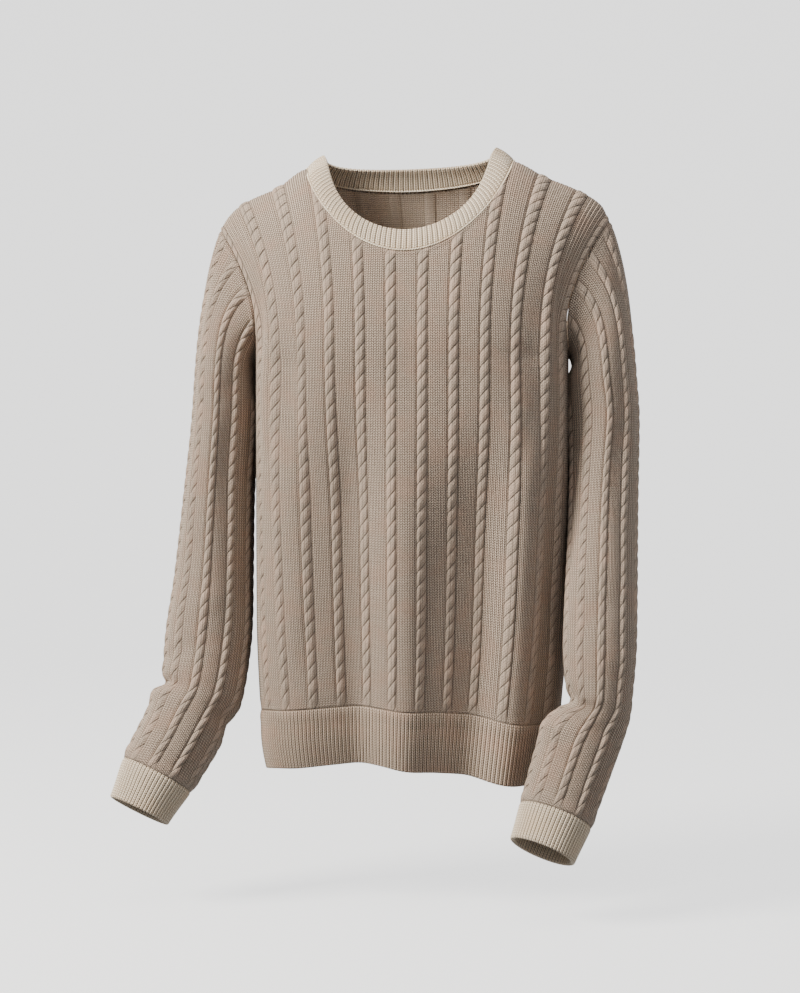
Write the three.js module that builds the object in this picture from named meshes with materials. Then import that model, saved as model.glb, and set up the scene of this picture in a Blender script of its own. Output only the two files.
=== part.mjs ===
// Cable knit sweater with a crew neck, filled out as it hangs on a wearer, with nobody in it.
// Millimetres. +Z is up, the front faces -Y, +X is the wearer's left. The origin lies midway
// between the two points where the neckband meets the shoulder seams.
import * as THREE from "three";

// Cloth
const WALL = 2.2;
const BAND_WALL = 2.6;
const SEAM_GAP = 0.3;
const JOIN_GAP = 0.6;

// Rope cables of two strands: a crest that sways from side to side, row by row
const CABLE_HALF = 4.8;
const CABLE_HEIGHT = 4;
const CABLE_SWAY = 2.2;
const CABLE_ROW = 15.5;
const RELIEF_FADE = 7;
const FOLD_FADE = 14;

// Front and back panels, measured flat across at the chest
const PANEL_HALF = 210;
const PANEL_CABLES = 12;
const PANEL_PITCH = 29.6;
const UNDERARM_Z = -190;
const YOKE_Z = -140;
const SHOULDER_S = 165;
const YOKE_SPREAD = 1.296;
const YOKE_CROWD = { share: 0.116, power: 8 };
const YOKE_SHIFT = 5;
const CHEST_ROUND = 1.75;
const SHOULDER_CABLES = 10;

// Mesh rows of a panel above the underarm: up to the straight of the armhole, then to the top
const UNDERARM_ROWS = 4;
const YOKE_ROWS = 7;

// Neck: half-width and drop of the seam, and the band that stands on it and leans in to an oval
const NECK_HALF = 103;
const NECK_S = 80;
const FRONT_NECK_DROP = 95;
const BACK_NECK_DROP = 20;
const NECK_AXIS_Y = -20;
const BAND_RISE = { centre: 21.5, side: 12 };
const BAND_LEAN = { centre: 11, side: 20 };
const BAND_BOW = 1.4;
const BAND_LINING_FOOT = 0.1;
const NECK_AXIS_REACH = 70;
const COLLAR_RIBS = 150;
const COLLAR_INSIDE_COLUMNS = 48;

// Hem and cuffs
const HEM_RIBS = 96;
const HEM_PULL = 2;
const HEM_BOW = 2.5;
const HEM_PULL_SHARE = 0.3;
const HEM_INSIDE_COLUMNS = 28;
const CUFF_RIBS = 56;
const CUFF_INSIDE_COLUMNS = 24;
const CUFF_PULL = 1.5;
const RIB_HEIGHT = 1.1;

// Body rings from the underarm down: half-width, depths to front and back, squareness of the
// ring and how far its middle lies off the origin
const BODY_RINGS = [
  { z: -660, half: 139, front: 60, back: 72, square: 2.6, shift: 0 },
  { z: -605, half: 143, front: 64, back: 76, square: 2.65, shift: 0 },
  { z: -545, half: 149, front: 69, back: 81, square: 2.7, shift: 1.5 },
  { z: -450, half: 154, front: 77, back: 86, square: 2.8, shift: 3 },
  { z: -350, half: 154.5, front: 85, back: 92, square: 2.9, shift: 3.5 },
  { z: -260, half: 154.5, front: 92, back: 97, square: 3, shift: 3.7 },
  { z: -190, half: 154.5, front: 94, back: 99, square: 3, shift: 3.7 },
];

// Shoulder seam from the wearer's right to left: height over the place across
const SHOULDER_LINE = [
  { x: -222, z: -118 },
  { x: -190, z: -64 },
  { x: -181, z: -50 },
  { x: -168, z: -38 },
  { x: -131, z: -21 },
  { x: -103, z: -3 },
  { x: -50, z: 4 },
  { x: 50, z: 9 },
  { x: 103, z: 3 },
  { x: 137, z: -14 },
  { x: 170, z: -28 },
  { x: 191, z: -42 },
  { x: 200, z: -59 },
  { x: 230, z: -112 },
];

// Side edge of a panel: flat half-width over height, straight at the armhole and out to the
// underarm
const PANEL_EDGE = [
  { z: -190, s: 210 },
  { z: -183, s: 192 },
  { z: -172, s: 178 },
  { z: -157, s: 169 },
  { z: -140, s: 165.5 },
  { z: -120, s: 165 },
  { z: 20, s: 165 },
];

// Seam between body and hem rib, and the hem's lower edge: height over the place across
const HEM_LINES = [
  { s: -210, top: -545, bottom: -604 },
  { s: -100, top: -538, bottom: -595 },
  { s: -30, top: -536.5, bottom: -593 },
  { s: 15, top: -538.5, bottom: -597.5 },
  { s: 66, top: -543.5, bottom: -603.5 },
  { s: 145, top: -553, bottom: -613.5 },
  { s: 210, top: -560, bottom: -618 },
];

// Soft vertical folds: place across, depth (minus is a trough), width, and the heights where
// each is full and where it has faded out
const FRONT_FOLDS = [
  { s: -54, depth: -14, width: 23, full: -350, gone: -190 },
  { s: -84, depth: -7, width: 30, full: -350, gone: -190 },
  { s: 0, depth: 12, width: 25, full: -380, gone: -200 },
  { s: 48, depth: -6, width: 28, full: -440, gone: -260 },
  { s: 76, depth: -13, width: 23, full: -400, gone: -230 },
  { s: 114, depth: 12, width: 24, full: -340, gone: -190 },
  { s: -125, depth: 6, width: 26, full: -360, gone: -200 },
  { s: 150, depth: -4, width: 16, full: -360, gone: -240 },
];
const BACK_FOLDS = [
  { s: -95, depth: -10, width: 28, full: -585, gone: -320 },
  { s: -40, depth: 5, width: 24, full: -560, gone: -400 },
  { s: 22, depth: -8, width: 25, full: -570, gone: -370 },
  { s: 88, depth: 6, width: 26, full: -540, gone: -350 },
  { s: 140, depth: -7, width: 22, full: -580, gone: -400 },
];

// Creases of the yoke: a trough that runs in from each armhole, on both faces
const YOKE_CREASES = [
  { s: 152, z: -150, depth: -4, wide: 9, tall: 46 },
  { s: -152, z: -155, depth: -4, wide: 9, tall: 50 },
  { s: 120, z: -196, depth: -4, wide: 26, tall: 10 },
  { s: -124, z: -205, depth: -4, wide: 28, tall: 11 },
];

// Upright ridges and a trough that the arms push up beside the underarms of the front
const UNDERARM_RIDGES = [
  { s: -146, z: -222, depth: 5, wide: 9, tall: 55 },
  { s: -117, z: -222, depth: -5, wide: 13, tall: 50 },
  { s: 138, z: -200, depth: 5, wide: 10, tall: 60 },
];

// Sleeves below the underarm: middle of each ring, half-width outwards and half-depth forwards
const RIGHT_ARM_RINGS = [
  { z: -680, x: -281, y: -68, across: 31, deep: 30 },
  { z: -640, x: -262, y: -54, across: 32, deep: 31 },
  { z: -606, x: -246, y: -42, across: 36.5, deep: 35 },
  { z: -565, x: -224.5, y: -28, across: 39, deep: 38 },
  { z: -527, x: -207.5, y: -15, across: 40.5, deep: 42 },
  { z: -469, x: -200.5, y: -6, across: 41.5, deep: 44 },
  { z: -417, x: -196.5, y: -2, across: 38, deep: 47 },
  { z: -319, x: -190.5, y: 0, across: 32.5, deep: 51 },
  { z: -254, x: -186.5, y: 1, across: 29.5, deep: 53 },
  { z: -215, x: -185, y: 2, across: 28.5, deep: 54 },
];
const LEFT_ARM_RINGS = [
  { z: -706, x: 114, y: -130, across: 32, deep: 30 },
  { z: -664, x: 132, y: -112, across: 32.5, deep: 31 },
  { z: -632, x: 145, y: -98, across: 34.5, deep: 34 },
  { z: -572, x: 166, y: -79, across: 37.5, deep: 37 },
  { z: -528, x: 186, y: -68, across: 31, deep: 44 },
  { z: -470, x: 187.5, y: -62, across: 34.5, deep: 43 },
  { z: -417, x: 189.5, y: -47, across: 34, deep: 46 },
  { z: -339, x: 193, y: -18, across: 32.5, deep: 50 },
  { z: -255, x: 198, y: 1, across: 29.5, deep: 54 },
  { z: -215, x: 194.5, y: 2, across: 30.5, deep: 54 },
];

// Creases of the sleeves: height, place around from the outer line (minus is the front, plus
// the back, one is the underarm line), depth, and how far each spreads along and around
const RIGHT_ARM_CREASES = [
  { z: -528, w: -0.08, depth: -6, along: 9, around: 0.3 },
  { z: -546, w: -0.1, depth: 4, along: 9, around: 0.3 },
  { z: -540, w: -0.86, depth: -6, along: 8, around: 0.16 },
  { z: -512, w: 0.3, depth: -5, along: 9, around: 0.2 },
  { z: -545, w: 0.82, depth: -6, along: 9, around: 0.2 },
  { z: -300, w: -0.62, depth: -3.5, along: 60, around: 0.1 },
];
const LEFT_ARM_CREASES = [
  { z: -530, w: -0.88, depth: -8, along: 8, around: 0.14 },
  { z: -541, w: -0.62, depth: -7, along: 8, around: 0.18 },
  { z: -552, w: -0.38, depth: -4, along: 9, around: 0.16 },
  { z: -566, w: -0.8, depth: 4, along: 10, around: 0.2 },
  { z: -535, w: 0.86, depth: -7, along: 9, around: 0.22 },
  { z: -500, w: 0.3, depth: -5, along: 10, around: 0.22 },
  { z: -300, w: -0.4, depth: -3, along: 60, around: 0.1 },
];
const SLEEVE_CABLES = 10;
const SLEEVE_HALF_ROUND = 142;
const CAP_BELOW = -215;
const CAP_ROWS = 9;
const UPPER_ARM_ROWS = 12;
const CAP_OUT = { outer: 0.36, front: 0.8 };
const CAP_FALL = 1.3;
const CAP_ARRIVES_FROM = 4;
const INNER_CABLE_STARTS = { z: -228, fade: 20, beyond: 0.8 };
const CUFF_TOP = { right: -606, left: -632 };
const CUFF_END = { right: -640, left: -664 };

// How coarsely the plain insides are laid out
const INSIDE_STEP = 26;
const INSIDE_ROWS = 4;
const LINING_SHORT = 1.2;
const SLEEVE_INSIDE_COLUMNS = 14;

const TAUPE = new THREE.MeshStandardMaterial({ color: 0xa8978a, roughness: 0.95, metalness: 0 });
const CREAM = new THREE.MeshStandardMaterial({ color: 0xe3dccf, roughness: 0.95, metalness: 0 });

// Smooth values of every column of a table at a place along one of its columns
function between(table, key, place) {
  const rows = [...table].sort((a, b) => a[key] - b[key]);
  const last = rows.length - 1;
  const held = THREE.MathUtils.clamp(place, rows[0][key], rows[last][key]);
  let i = 0;
  while (i < last - 1 && rows[i + 1][key] < held) i += 1;
  const step = (a, b, name) => (rows[b][name] - rows[a][name]) / (rows[b][key] - rows[a][key]);
  const slope = (j, name) => {
    if (j === 0) return step(0, 1, name);
    if (j === last) return step(last - 1, last, name);
    const before = step(j - 1, j, name);
    const after = step(j, j + 1, name);
    return before * after <= 0 ? 0 : (2 * before * after) / (before + after);
  };
  const span = rows[i + 1][key] - rows[i][key];
  const u = (held - rows[i][key]) / span;
  const result = {};
  for (const name of Object.keys(rows[0])) {
    const start = rows[i][name] * (1 + 2 * u) * (1 - u) ** 2;
    const end = rows[i + 1][name] * u * u * (3 - 2 * u);
    const leave = slope(i, name) * span * u * (1 - u) ** 2;
    const arrive = slope(i + 1, name) * span * u * u * (u - 1);
    result[name] = start + end + leave + arrive;
  }
  return result;
}

function bump(distance, width) {
  return Math.exp(-((distance / width) ** 2));
}

// Point of a quarter ring at a share of its length, from the middle of the panel to its side
const QUARTER_STEPS = 60;
function quarterPoint(half, depth, square, share) {
  const corner = (k) => {
    const angle = (k / QUARTER_STEPS) * (Math.PI / 2);
    const x = half * Math.sin(angle) ** (2 / square);
    const y = depth * Math.max(Math.cos(angle), 0) ** (2 / square);
    return new THREE.Vector2(x, y);
  };
  const corners = Array.from({ length: QUARTER_STEPS + 1 }, (_, k) => corner(k));
  const lengths = [0];
  for (let k = 1; k <= QUARTER_STEPS; k += 1) {
    lengths.push(lengths[k - 1] + corners[k].distanceTo(corners[k - 1]));
  }
  const wanted = THREE.MathUtils.clamp(share, 0, 1) * lengths[QUARTER_STEPS];
  let k = 1;
  while (k < QUARTER_STEPS && lengths[k] < wanted) k += 1;
  const part = (wanted - lengths[k - 1]) / (lengths[k] - lengths[k - 1]);
  return corners[k - 1].clone().lerp(corners[k], part);
}

// The two faces of the body
const FRONT = {
  side: -1,
  depth: "front",
  neckDrop: FRONT_NECK_DROP,
  folds: FRONT_FOLDS,
  ridges: UNDERARM_RIDGES,
};
const BACK = {
  side: 1,
  depth: "back",
  neckDrop: BACK_NECK_DROP,
  folds: BACK_FOLDS,
  ridges: [],
};

// Place across on the shoulders of a place across the flat panel, which spreads towards the neck
// and crowds in at the armholes
function shoulderPlace(s) {
  const out = Math.abs(s / SHOULDER_S);
  const spread = YOKE_SPREAD - YOKE_CROWD.share * out ** YOKE_CROWD.power;
  return s * spread + YOKE_SHIFT * out ** 2;
}

function shoulderHeight(s) {
  return between(SHOULDER_LINE, "x", shoulderPlace(s)).z;
}

// Upper edge of a face: the neck seam in the middle, the shoulder seam at both sides
function topHeight(face, s) {
  const share = Math.abs(s) / NECK_S;
  if (share >= 1) return shoulderHeight(s);
  const sides = [shoulderHeight(-NECK_S), shoulderHeight(NECK_S)];
  const level = THREE.MathUtils.lerp(sides[0], sides[1], (s / NECK_S + 1) / 2);
  return level - face.neckDrop * Math.sqrt(1 - share * share);
}

// Body surface without relief, at a place across the flat panel and a height
function bodyBase(face, s, z) {
  const ring = between(BODY_RINGS, "z", Math.min(z, UNDERARM_Z));
  const flat = quarterPoint(ring.half, ring[face.depth], ring.square, Math.abs(s) / PANEL_HALF);
  const sign = s < 0 ? -1 : 1;
  let x = sign * flat.x + ring.shift;
  let y = flat.y;
  if (z > UNDERARM_Z) {
    const top = shoulderHeight(s);
    const climb = THREE.MathUtils.clamp((z - UNDERARM_Z) / (top - UNDERARM_Z), 0, 1);
    x = THREE.MathUtils.lerp(x, shoulderPlace(s), climb ** 2);
    y = flat.y * Math.max(1 - climb ** CHEST_ROUND, 0) ** (1 / CHEST_ROUND);
  }
  return new THREE.Vector3(x, face.side * (y + SEAM_GAP / 2), z);
}

// Depth of the folds and creases at a place of a face
function foldDepth(face, s, z) {
  let depth = 0;
  for (const fold of face.folds) {
    const strength = 1 - THREE.MathUtils.smoothstep(z, fold.full, fold.gone);
    depth += fold.depth * strength * bump(s - fold.s, fold.width);
  }
  for (const crease of [...YOKE_CREASES, ...face.ridges]) {
    depth += crease.depth * bump(s - crease.s, crease.wide) * bump(z - crease.z, crease.tall);
  }
  const edge = between(PANEL_EDGE, "z", z).s;
  return depth * THREE.MathUtils.smoothstep(edge - Math.abs(s), 0, FOLD_FADE);
}

// Point of a surface moved out along its own normal, which is taken over a short step
const SURFACE_STEP = 0.5;
function liftedFrom(surface, a, b, lift, outwards) {
  const here = surface(a, b);
  const across = surface(a + SURFACE_STEP, b).sub(surface(a - SURFACE_STEP, b));
  const along = surface(a, b + SURFACE_STEP).sub(surface(a, b - SURFACE_STEP));
  const normal = across.cross(along);
  if (Math.abs(here.y) <= SEAM_GAP) normal.y = 0;
  normal.normalize();
  if (normal.dot(outwards(here)) < 0) normal.negate();
  return here.addScaledVector(normal, lift);
}

// A direction that points away from the body: outwards, and upwards on the yoke
const AWAY_ACROSS = 0.6;
const AWAY_UP = 60;
function awayFromBody(point) {
  return new THREE.Vector3(point.x * AWAY_ACROSS, point.y, point.z > YOKE_Z ? AWAY_UP : 0);
}

function bodyPoint(face, s, z, lift) {
  const height = Math.min(z, topHeight(face, s));
  const surface = (a, b) => bodyBase(face, THREE.MathUtils.clamp(a, -PANEL_HALF, PANEL_HALF), b);
  return liftedFrom(surface, s, height, lift + foldDepth(face, s, z), awayFromBody);
}

// Columns of a panel: three to a cable, the two sides of the panel and the ends of the neck
function panelColumns() {
  const columns = [{ s: -PANEL_HALF, crest: 0 }, { s: PANEL_HALF, crest: 0 }];
  for (const side of [-1, 1]) columns.push({ s: side * NECK_S, crest: 0 });
  for (let k = 0; k < PANEL_CABLES; k += 1) {
    const middle = (k - (PANEL_CABLES - 1) / 2) * PANEL_PITCH;
    columns.push({ s: middle - CABLE_HALF, crest: 0 });
    columns.push({ s: middle, crest: 1 });
    columns.push({ s: middle + CABLE_HALF, crest: 0 });
  }
  return columns.sort((a, b) => a.s - b.s);
}

// Columns beyond the outermost cable that reaches the shoulder crowd in beside the armhole
const YOKE_HALF = ((SHOULDER_CABLES - 1) / 2) * PANEL_PITCH + CABLE_HALF;
function acrossAt(s, z) {
  const edge = between(PANEL_EDGE, "z", z).s;
  const beyond = Math.abs(s) - YOKE_HALF;
  if (beyond <= 0) return s;
  const held = YOKE_HALF + (beyond * (edge - YOKE_HALF)) / (PANEL_HALF - YOKE_HALF);
  return Math.sign(s) * held;
}

// Rows of a panel: even below the underarm, then up to each column's own top
function panelRows() {
  const low = Math.round((UNDERARM_Z - between(HEM_LINES, "s", 0).top) / CABLE_ROW);
  const rows = [];
  for (let k = 0; k < low; k += 1) rows.push({ zone: "low", part: k / low });
  for (let k = 0; k < UNDERARM_ROWS; k += 1) rows.push({ zone: "underarm", part: k / UNDERARM_ROWS });
  for (let k = 0; k <= YOKE_ROWS; k += 1) rows.push({ zone: "yoke", part: k / YOKE_ROWS });
  return rows;
}

function rowHeight(face, row, s) {
  const lerp = THREE.MathUtils.lerp;
  if (row.zone === "low") return lerp(between(HEM_LINES, "s", s).top, UNDERARM_Z, row.part);
  if (row.zone === "underarm") return lerp(UNDERARM_Z, YOKE_Z, row.part);
  return lerp(YOKE_Z, topHeight(face, s), row.part);
}

// A wall from a grid of outer points and a coarser grid of inner points. Each grid has rows of
// { point, place } with places from 0 to 1, and rows with a place of their own.
function wallGeometry(outer, inner, closed) {
  const positions = [];
  const faces = [];
  const numbered = [outer, inner].map((grid) =>
    grid.map((row) => ({
      place: row.place,
      cells: row.cells.map((cell) => {
        positions.push(cell.point.x, cell.point.y, cell.point.z);
        return { id: positions.length / 3 - 1, place: cell.place };
      }),
    })),
  );
  if (closed) {
    for (const grid of numbered) {
      for (const row of grid) row.cells.push({ id: row.cells[0].id, place: 1 });
    }
  }
  const [skin, lining] = numbered;
  const cover = (grid, turned) => {
    for (let j = 0; j + 1 < grid.length; j += 1) {
      for (let i = 0; i + 1 < grid[j].cells.length; i += 1) {
        const a = grid[j].cells[i].id;
        const b = grid[j].cells[i + 1].id;
        const c = grid[j + 1].cells[i + 1].id;
        const d = grid[j + 1].cells[i].id;
        if (turned) faces.push(a, c, b, a, d, c);
        else faces.push(a, b, c, a, c, d);
      }
    }
  };
  const zip = (skinEdge, liningEdge) => {
    let i = 0;
    let k = 0;
    while (i + 1 < skinEdge.length || k + 1 < liningEdge.length) {
      const skinNext = i + 1 < skinEdge.length ? skinEdge[i + 1].place : 2;
      const liningNext = k + 1 < liningEdge.length ? liningEdge[k + 1].place : 2;
      if (skinNext <= liningNext) {
        faces.push(skinEdge[i + 1].id, skinEdge[i].id, liningEdge[k].id);
        i += 1;
      } else {
        faces.push(liningEdge[k].id, liningEdge[k + 1].id, skinEdge[i].id);
        k += 1;
      }
    }
  };
  const backwards = (edge) => [...edge].reverse().map((c) => ({ id: c.id, place: 1 - c.place }));
  const column = (grid, pick) =>
    grid.map((row) => ({ id: pick(row.cells).id, place: row.place }));
  const first = (cells) => cells[0];
  const end = (cells) => cells[cells.length - 1];
  cover(skin, false);
  cover(lining, true);
  zip(skin[0].cells, lining[0].cells);
  zip(backwards(end(skin).cells), backwards(end(lining).cells));
  if (!closed) {
    zip(column(skin, end), column(lining, end));
    zip(backwards(column(skin, first)), backwards(column(lining, first)));
  }
  return facingOut(positions, faces);
}

// A geometry whose faces point out of the solid
function facingOut(positions, faces) {
  const corner = (n) => new THREE.Vector3().fromArray(positions, faces[n] * 3);
  let volume = 0;
  for (let n = 0; n < faces.length; n += 3) {
    volume += corner(n).dot(corner(n + 1).cross(corner(n + 2)));
  }
  if (volume < 0) {
    for (let n = 0; n < faces.length; n += 3) {
      [faces[n], faces[n + 1]] = [faces[n + 1], faces[n]];
    }
  }
  const geometry = new THREE.BufferGeometry();
  geometry.setAttribute("position", new THREE.Float32BufferAttribute(positions, 3));
  geometry.setIndex(faces);
  return geometry;
}

function piece(name, geometry, material) {
  const mesh = new THREE.Mesh(geometry, material);
  mesh.name = name;
  return mesh;
}

// Height of a cable's crest, gone where the panel ends. The cables outside those that reach the
// shoulder end at the underarm.
function crestHeight(column, s, z, face) {
  if (!column.crest) return 0;
  const beyond = Math.abs(column.s) > YOKE_HALF;
  const kept = beyond ? 1 - THREE.MathUtils.smoothstep(z, UNDERARM_Z, UNDERARM_Z + CABLE_ROW) : 1;
  const edge = between(PANEL_EDGE, "z", z).s - Math.abs(s);
  const above = topHeight(face, s) - z;
  const below = z - between(HEM_LINES, "s", s).top;
  const near = THREE.MathUtils.smoothstep(Math.min(edge - CABLE_HALF, above, below), 0, RELIEF_FADE);
  return CABLE_HEIGHT * near * kept;
}

function panelSkin(face) {
  const columns = panelColumns();
  return panelRows().map((row, j, rows) => ({
    place: j / (rows.length - 1),
    cells: columns.map((column) => {
      const roughZ = rowHeight(face, row, column.s);
      const s = acrossAt(column.s, roughZ);
      const z = rowHeight(face, row, s);
      const height = crestHeight(column, s, z, face);
      const sway = (height / CABLE_HEIGHT) * (j % 2 ? CABLE_SWAY : -CABLE_SWAY);
      const point = bodyPoint(face, s + sway, z, height);
      return { point, place: (column.s / PANEL_HALF + 1) / 2 };
    }),
  }));
}

function panelLining(face) {
  const across = Math.round((2 * PANEL_HALF) / INSIDE_STEP / 2) * 2;
  const rows = panelRows();
  const kept = rows.filter((row, j) => row.zone !== "low" || j % INSIDE_ROWS === 0);
  const places = [-NECK_S, NECK_S];
  for (let i = 0; i <= across; i += 1) places.push((2 * i * PANEL_HALF) / across - PANEL_HALF);
  places.sort((a, b) => a - b);
  return kept.map((row) => ({
    place: rows.indexOf(row) / (rows.length - 1),
    cells: places.map((flat) => {
      const s = acrossAt(flat, rowHeight(face, row, flat));
      const z = Math.min(rowHeight(face, row, s), topHeight(face, s) - LINING_SHORT);
      return { point: bodyPoint(face, s, z, -WALL), place: (flat / PANEL_HALF + 1) / 2 };
    }),
  }));
}

// A run of points that can be asked for the point at a share of its length
function runOf(points) {
  const lengths = [0];
  for (let k = 1; k < points.length; k += 1) {
    lengths.push(lengths[k - 1] + points[k].distanceTo(points[k - 1]));
  }
  const total = lengths[lengths.length - 1];
  return (share) => {
    const wanted = THREE.MathUtils.clamp(share, 0, 1) * total;
    let k = 1;
    while (k < points.length - 1 && lengths[k] < wanted) k += 1;
    const part = (wanted - lengths[k - 1]) / (lengths[k] - lengths[k - 1]);
    return points[k - 1].clone().lerp(points[k], part);
  };
}

const frontSkin = panelSkin(FRONT);
const backSkin = panelSkin(BACK);

// Hem rib of one face
function hemBase(face, s, part) {
  const line = between(HEM_LINES, "s", s);
  const z = THREE.MathUtils.lerp(line.top - JOIN_GAP, line.bottom, part);
  const pull = -HEM_PULL * THREE.MathUtils.smoothstep(part, 0, HEM_PULL_SHARE);
  const bow = HEM_BOW * Math.sin(Math.PI * part);
  return { z, lift: pull + bow };
}

function hemWall(face) {
  const ribColumns = 2 * HEM_RIBS;
  const strip = (count, rows, height) =>
    rows.map((part) => ({
      place: part,
      cells: Array.from({ length: count + 1 }, (_, i) => {
        const s = (i / count) * 2 * PANEL_HALF - PANEL_HALF;
        const { z, lift } = hemBase(face, s, part);
        const rib = i % 2 ? height.crest : height.valley;
        return { point: bodyPoint(face, s, z, lift + rib), place: i / count };
      }),
    }));
  const skin = strip(ribColumns, [0, 0.5, 1], { crest: RIB_HEIGHT, valley: 0 });
  const lining = strip(HEM_INSIDE_COLUMNS, [0, 0.5, 1], { crest: -WALL, valley: -WALL });
  return wallGeometry(skin, lining, false);
}

// Edge of the armhole on one side, from the shoulder seam down a face to the underarm
function armholeEdge(skin, side) {
  const rows = skin.filter((row) => row.cells[0].point.z >= UNDERARM_Z - 1);
  const points = rows.map((row) => (side < 0 ? row.cells[0] : row.cells[row.cells.length - 1]).point);
  return points.reverse();
}

// A sleeve: the armhole it hangs from, its rings and its creases
function armOf(side, rings, creases, cuffTop, cuffEnd) {
  return {
    side,
    rings,
    creases,
    cuffTop,
    cuffEnd,
    front: runOf(armholeEdge(frontSkin, side)),
    back: runOf(armholeEdge(backSkin, side)),
  };
}

const RIGHT_ARM = armOf(-1, RIGHT_ARM_RINGS, RIGHT_ARM_CREASES, CUFF_TOP.right, CUFF_END.right);
const LEFT_ARM = armOf(1, LEFT_ARM_RINGS, LEFT_ARM_CREASES, CUFF_TOP.left, CUFF_END.left);

// Point around a sleeve's ring at a height; w runs from -1 to 1 with 0 on the outer line
function ringPoint(arm, w, z) {
  const at = between(arm.rings, "z", z);
  const above = between(arm.rings, "z", z + 1);
  const below = between(arm.rings, "z", z - 1);
  const axis = new THREE.Vector3(above.x - below.x, above.y - below.y, 2).normalize();
  const out = new THREE.Vector3(arm.side, 0, 0).addScaledVector(axis, -arm.side * axis.x).normalize();
  const back = axis.clone().cross(out).multiplyScalar(arm.side);
  const angle = Math.PI * w;
  return new THREE.Vector3(at.x, at.y, z)
    .addScaledVector(out, at.across * Math.cos(angle))
    .addScaledVector(back, at.deep * Math.sin(angle));
}

// Point of the sleeve cap: from the armhole round into the first ring
function capPoint(arm, w, part) {
  const start = (w < 0 ? arm.front : arm.back)(Math.abs(w));
  const end = ringPoint(arm, w, CAP_BELOW);
  const reach = start.distanceTo(end);
  const turn = Math.sin(Math.PI * w) ** 2;
  const outwards = THREE.MathUtils.lerp(CAP_OUT.outer, CAP_OUT.front, turn);
  const leave = new THREE.Vector3(arm.side * outwards, 0, outwards - CAP_FALL).normalize();
  const arrive = ringPoint(arm, w, CAP_BELOW - CAP_ARRIVES_FROM).sub(end).normalize();
  start.addScaledVector(leave, JOIN_GAP);
  const u = part;
  return start
    .multiplyScalar((1 + 2 * u) * (1 - u) ** 2)
    .addScaledVector(leave, reach * u * (1 - u) ** 2)
    .addScaledVector(end, u * u * (3 - 2 * u))
    .addScaledVector(arrive, reach * u * u * (u - 1));
}

// A sleeve's surface: down is counted in rows, those of the cap first
function sleeveBase(arm, w, down) {
  const around = w > 1 ? w - 2 : w < -1 ? w + 2 : w;
  if (down <= CAP_ROWS) return capPoint(arm, around, Math.max(down, 0) / CAP_ROWS);
  return ringPoint(arm, around, CAP_BELOW - (down - CAP_ROWS) * CABLE_ROW);
}

function sleeveHeight(down) {
  return CAP_BELOW - Math.max(down - CAP_ROWS, 0) * CABLE_ROW;
}

const TURN_STEP = 0.02;
const ROW_STEP = 0.08;
function sleevePoint(arm, w, down, lift) {
  const z = sleeveHeight(down);
  const here = sleeveBase(arm, w, down);
  const across = sleeveBase(arm, w + TURN_STEP, down).sub(sleeveBase(arm, w - TURN_STEP, down));
  const above = sleeveBase(arm, w, Math.max(down - ROW_STEP, 0));
  const along = sleeveBase(arm, w, down + ROW_STEP).sub(above);
  const normal = across.cross(along).normalize().multiplyScalar(-arm.side);
  let depth = lift;
  if (down > CAP_ROWS) {
    for (const crease of arm.creases) {
      const apart = Math.abs(((w - crease.w + 3) % 2) - 1);
      depth += crease.depth * bump(z - crease.z, crease.along) * bump(apart, crease.around);
    }
  }
  return here.addScaledVector(normal, depth);
}

// Places around a sleeve: the underarm line and three to a cable
function sleeveColumns() {
  const columns = [{ w: -1, crest: 0 }];
  const halfCable = CABLE_HALF / SLEEVE_HALF_ROUND;
  for (let k = 0; k < SLEEVE_CABLES; k += 1) {
    const middle = ((k + 0.5) * 2) / SLEEVE_CABLES - 1;
    columns.push({ w: middle - halfCable, crest: 0 });
    columns.push({ w: middle, crest: 1 });
    columns.push({ w: middle + halfCable, crest: 0 });
  }
  return columns;
}

// Share of a cable's height: the innermost two start below the underarm
function crestShare(w, z) {
  if (Math.abs(w) < INNER_CABLE_STARTS.beyond) return 1;
  const start = INNER_CABLE_STARTS.z;
  return THREE.MathUtils.smoothstep(-z, -start, INNER_CABLE_STARTS.fade - start);
}

// Rows of mesh down a sleeve to its cuff
function sleeveRows(arm) {
  return Math.round((CAP_BELOW - arm.cuffTop) / CABLE_ROW) + CAP_ROWS;
}

// A stretch of a sleeve between two rows, with a hair's gap under the stretch above it
function sleeveWall(arm, first, last) {
  const rows = sleeveRows(arm);
  const stretch = (rows - CAP_ROWS) / ((CAP_BELOW - arm.cuffTop) / CABLE_ROW);
  const downAt = (j) => {
    const gap = first > 0 && j === first ? SEAM_GAP / CABLE_ROW : 0;
    return gap + (j <= CAP_ROWS ? j : CAP_ROWS + (j - CAP_ROWS) / stretch);
  };
  const placeOf = (j) => (j - first) / (last - first);
  const skin = [];
  for (let j = first; j <= last; j += 1) {
    const near = THREE.MathUtils.smoothstep(Math.min(j, rows - j), 0, 1);
    const sway = (j % 2 ? 1 : -1) * near * (CABLE_SWAY / SLEEVE_HALF_ROUND);
    const cells = sleeveColumns().map(({ w, crest }) => ({
      point: sleevePoint(
        arm,
        w + crest * sway,
        downAt(j),
        crest * near * CABLE_HEIGHT * crestShare(w, sleeveHeight(downAt(j))),
      ),
      place: (w + 1) / 2,
    }));
    skin.push({ place: placeOf(j), cells });
  }
  const lining = [];
  for (let j = first; j <= last; j += 1) {
    if (j > CAP_ROWS && j < last && (j - CAP_ROWS) % 2) continue;
    const cells = Array.from({ length: SLEEVE_INSIDE_COLUMNS }, (_, i) => {
      const w = (2 * i) / SLEEVE_INSIDE_COLUMNS - 1;
      return { point: sleevePoint(arm, w, downAt(j), -WALL), place: (w + 1) / 2 };
    });
    lining.push({ place: placeOf(j), cells });
  }
  return wallGeometry(skin, lining, true);
}

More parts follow.
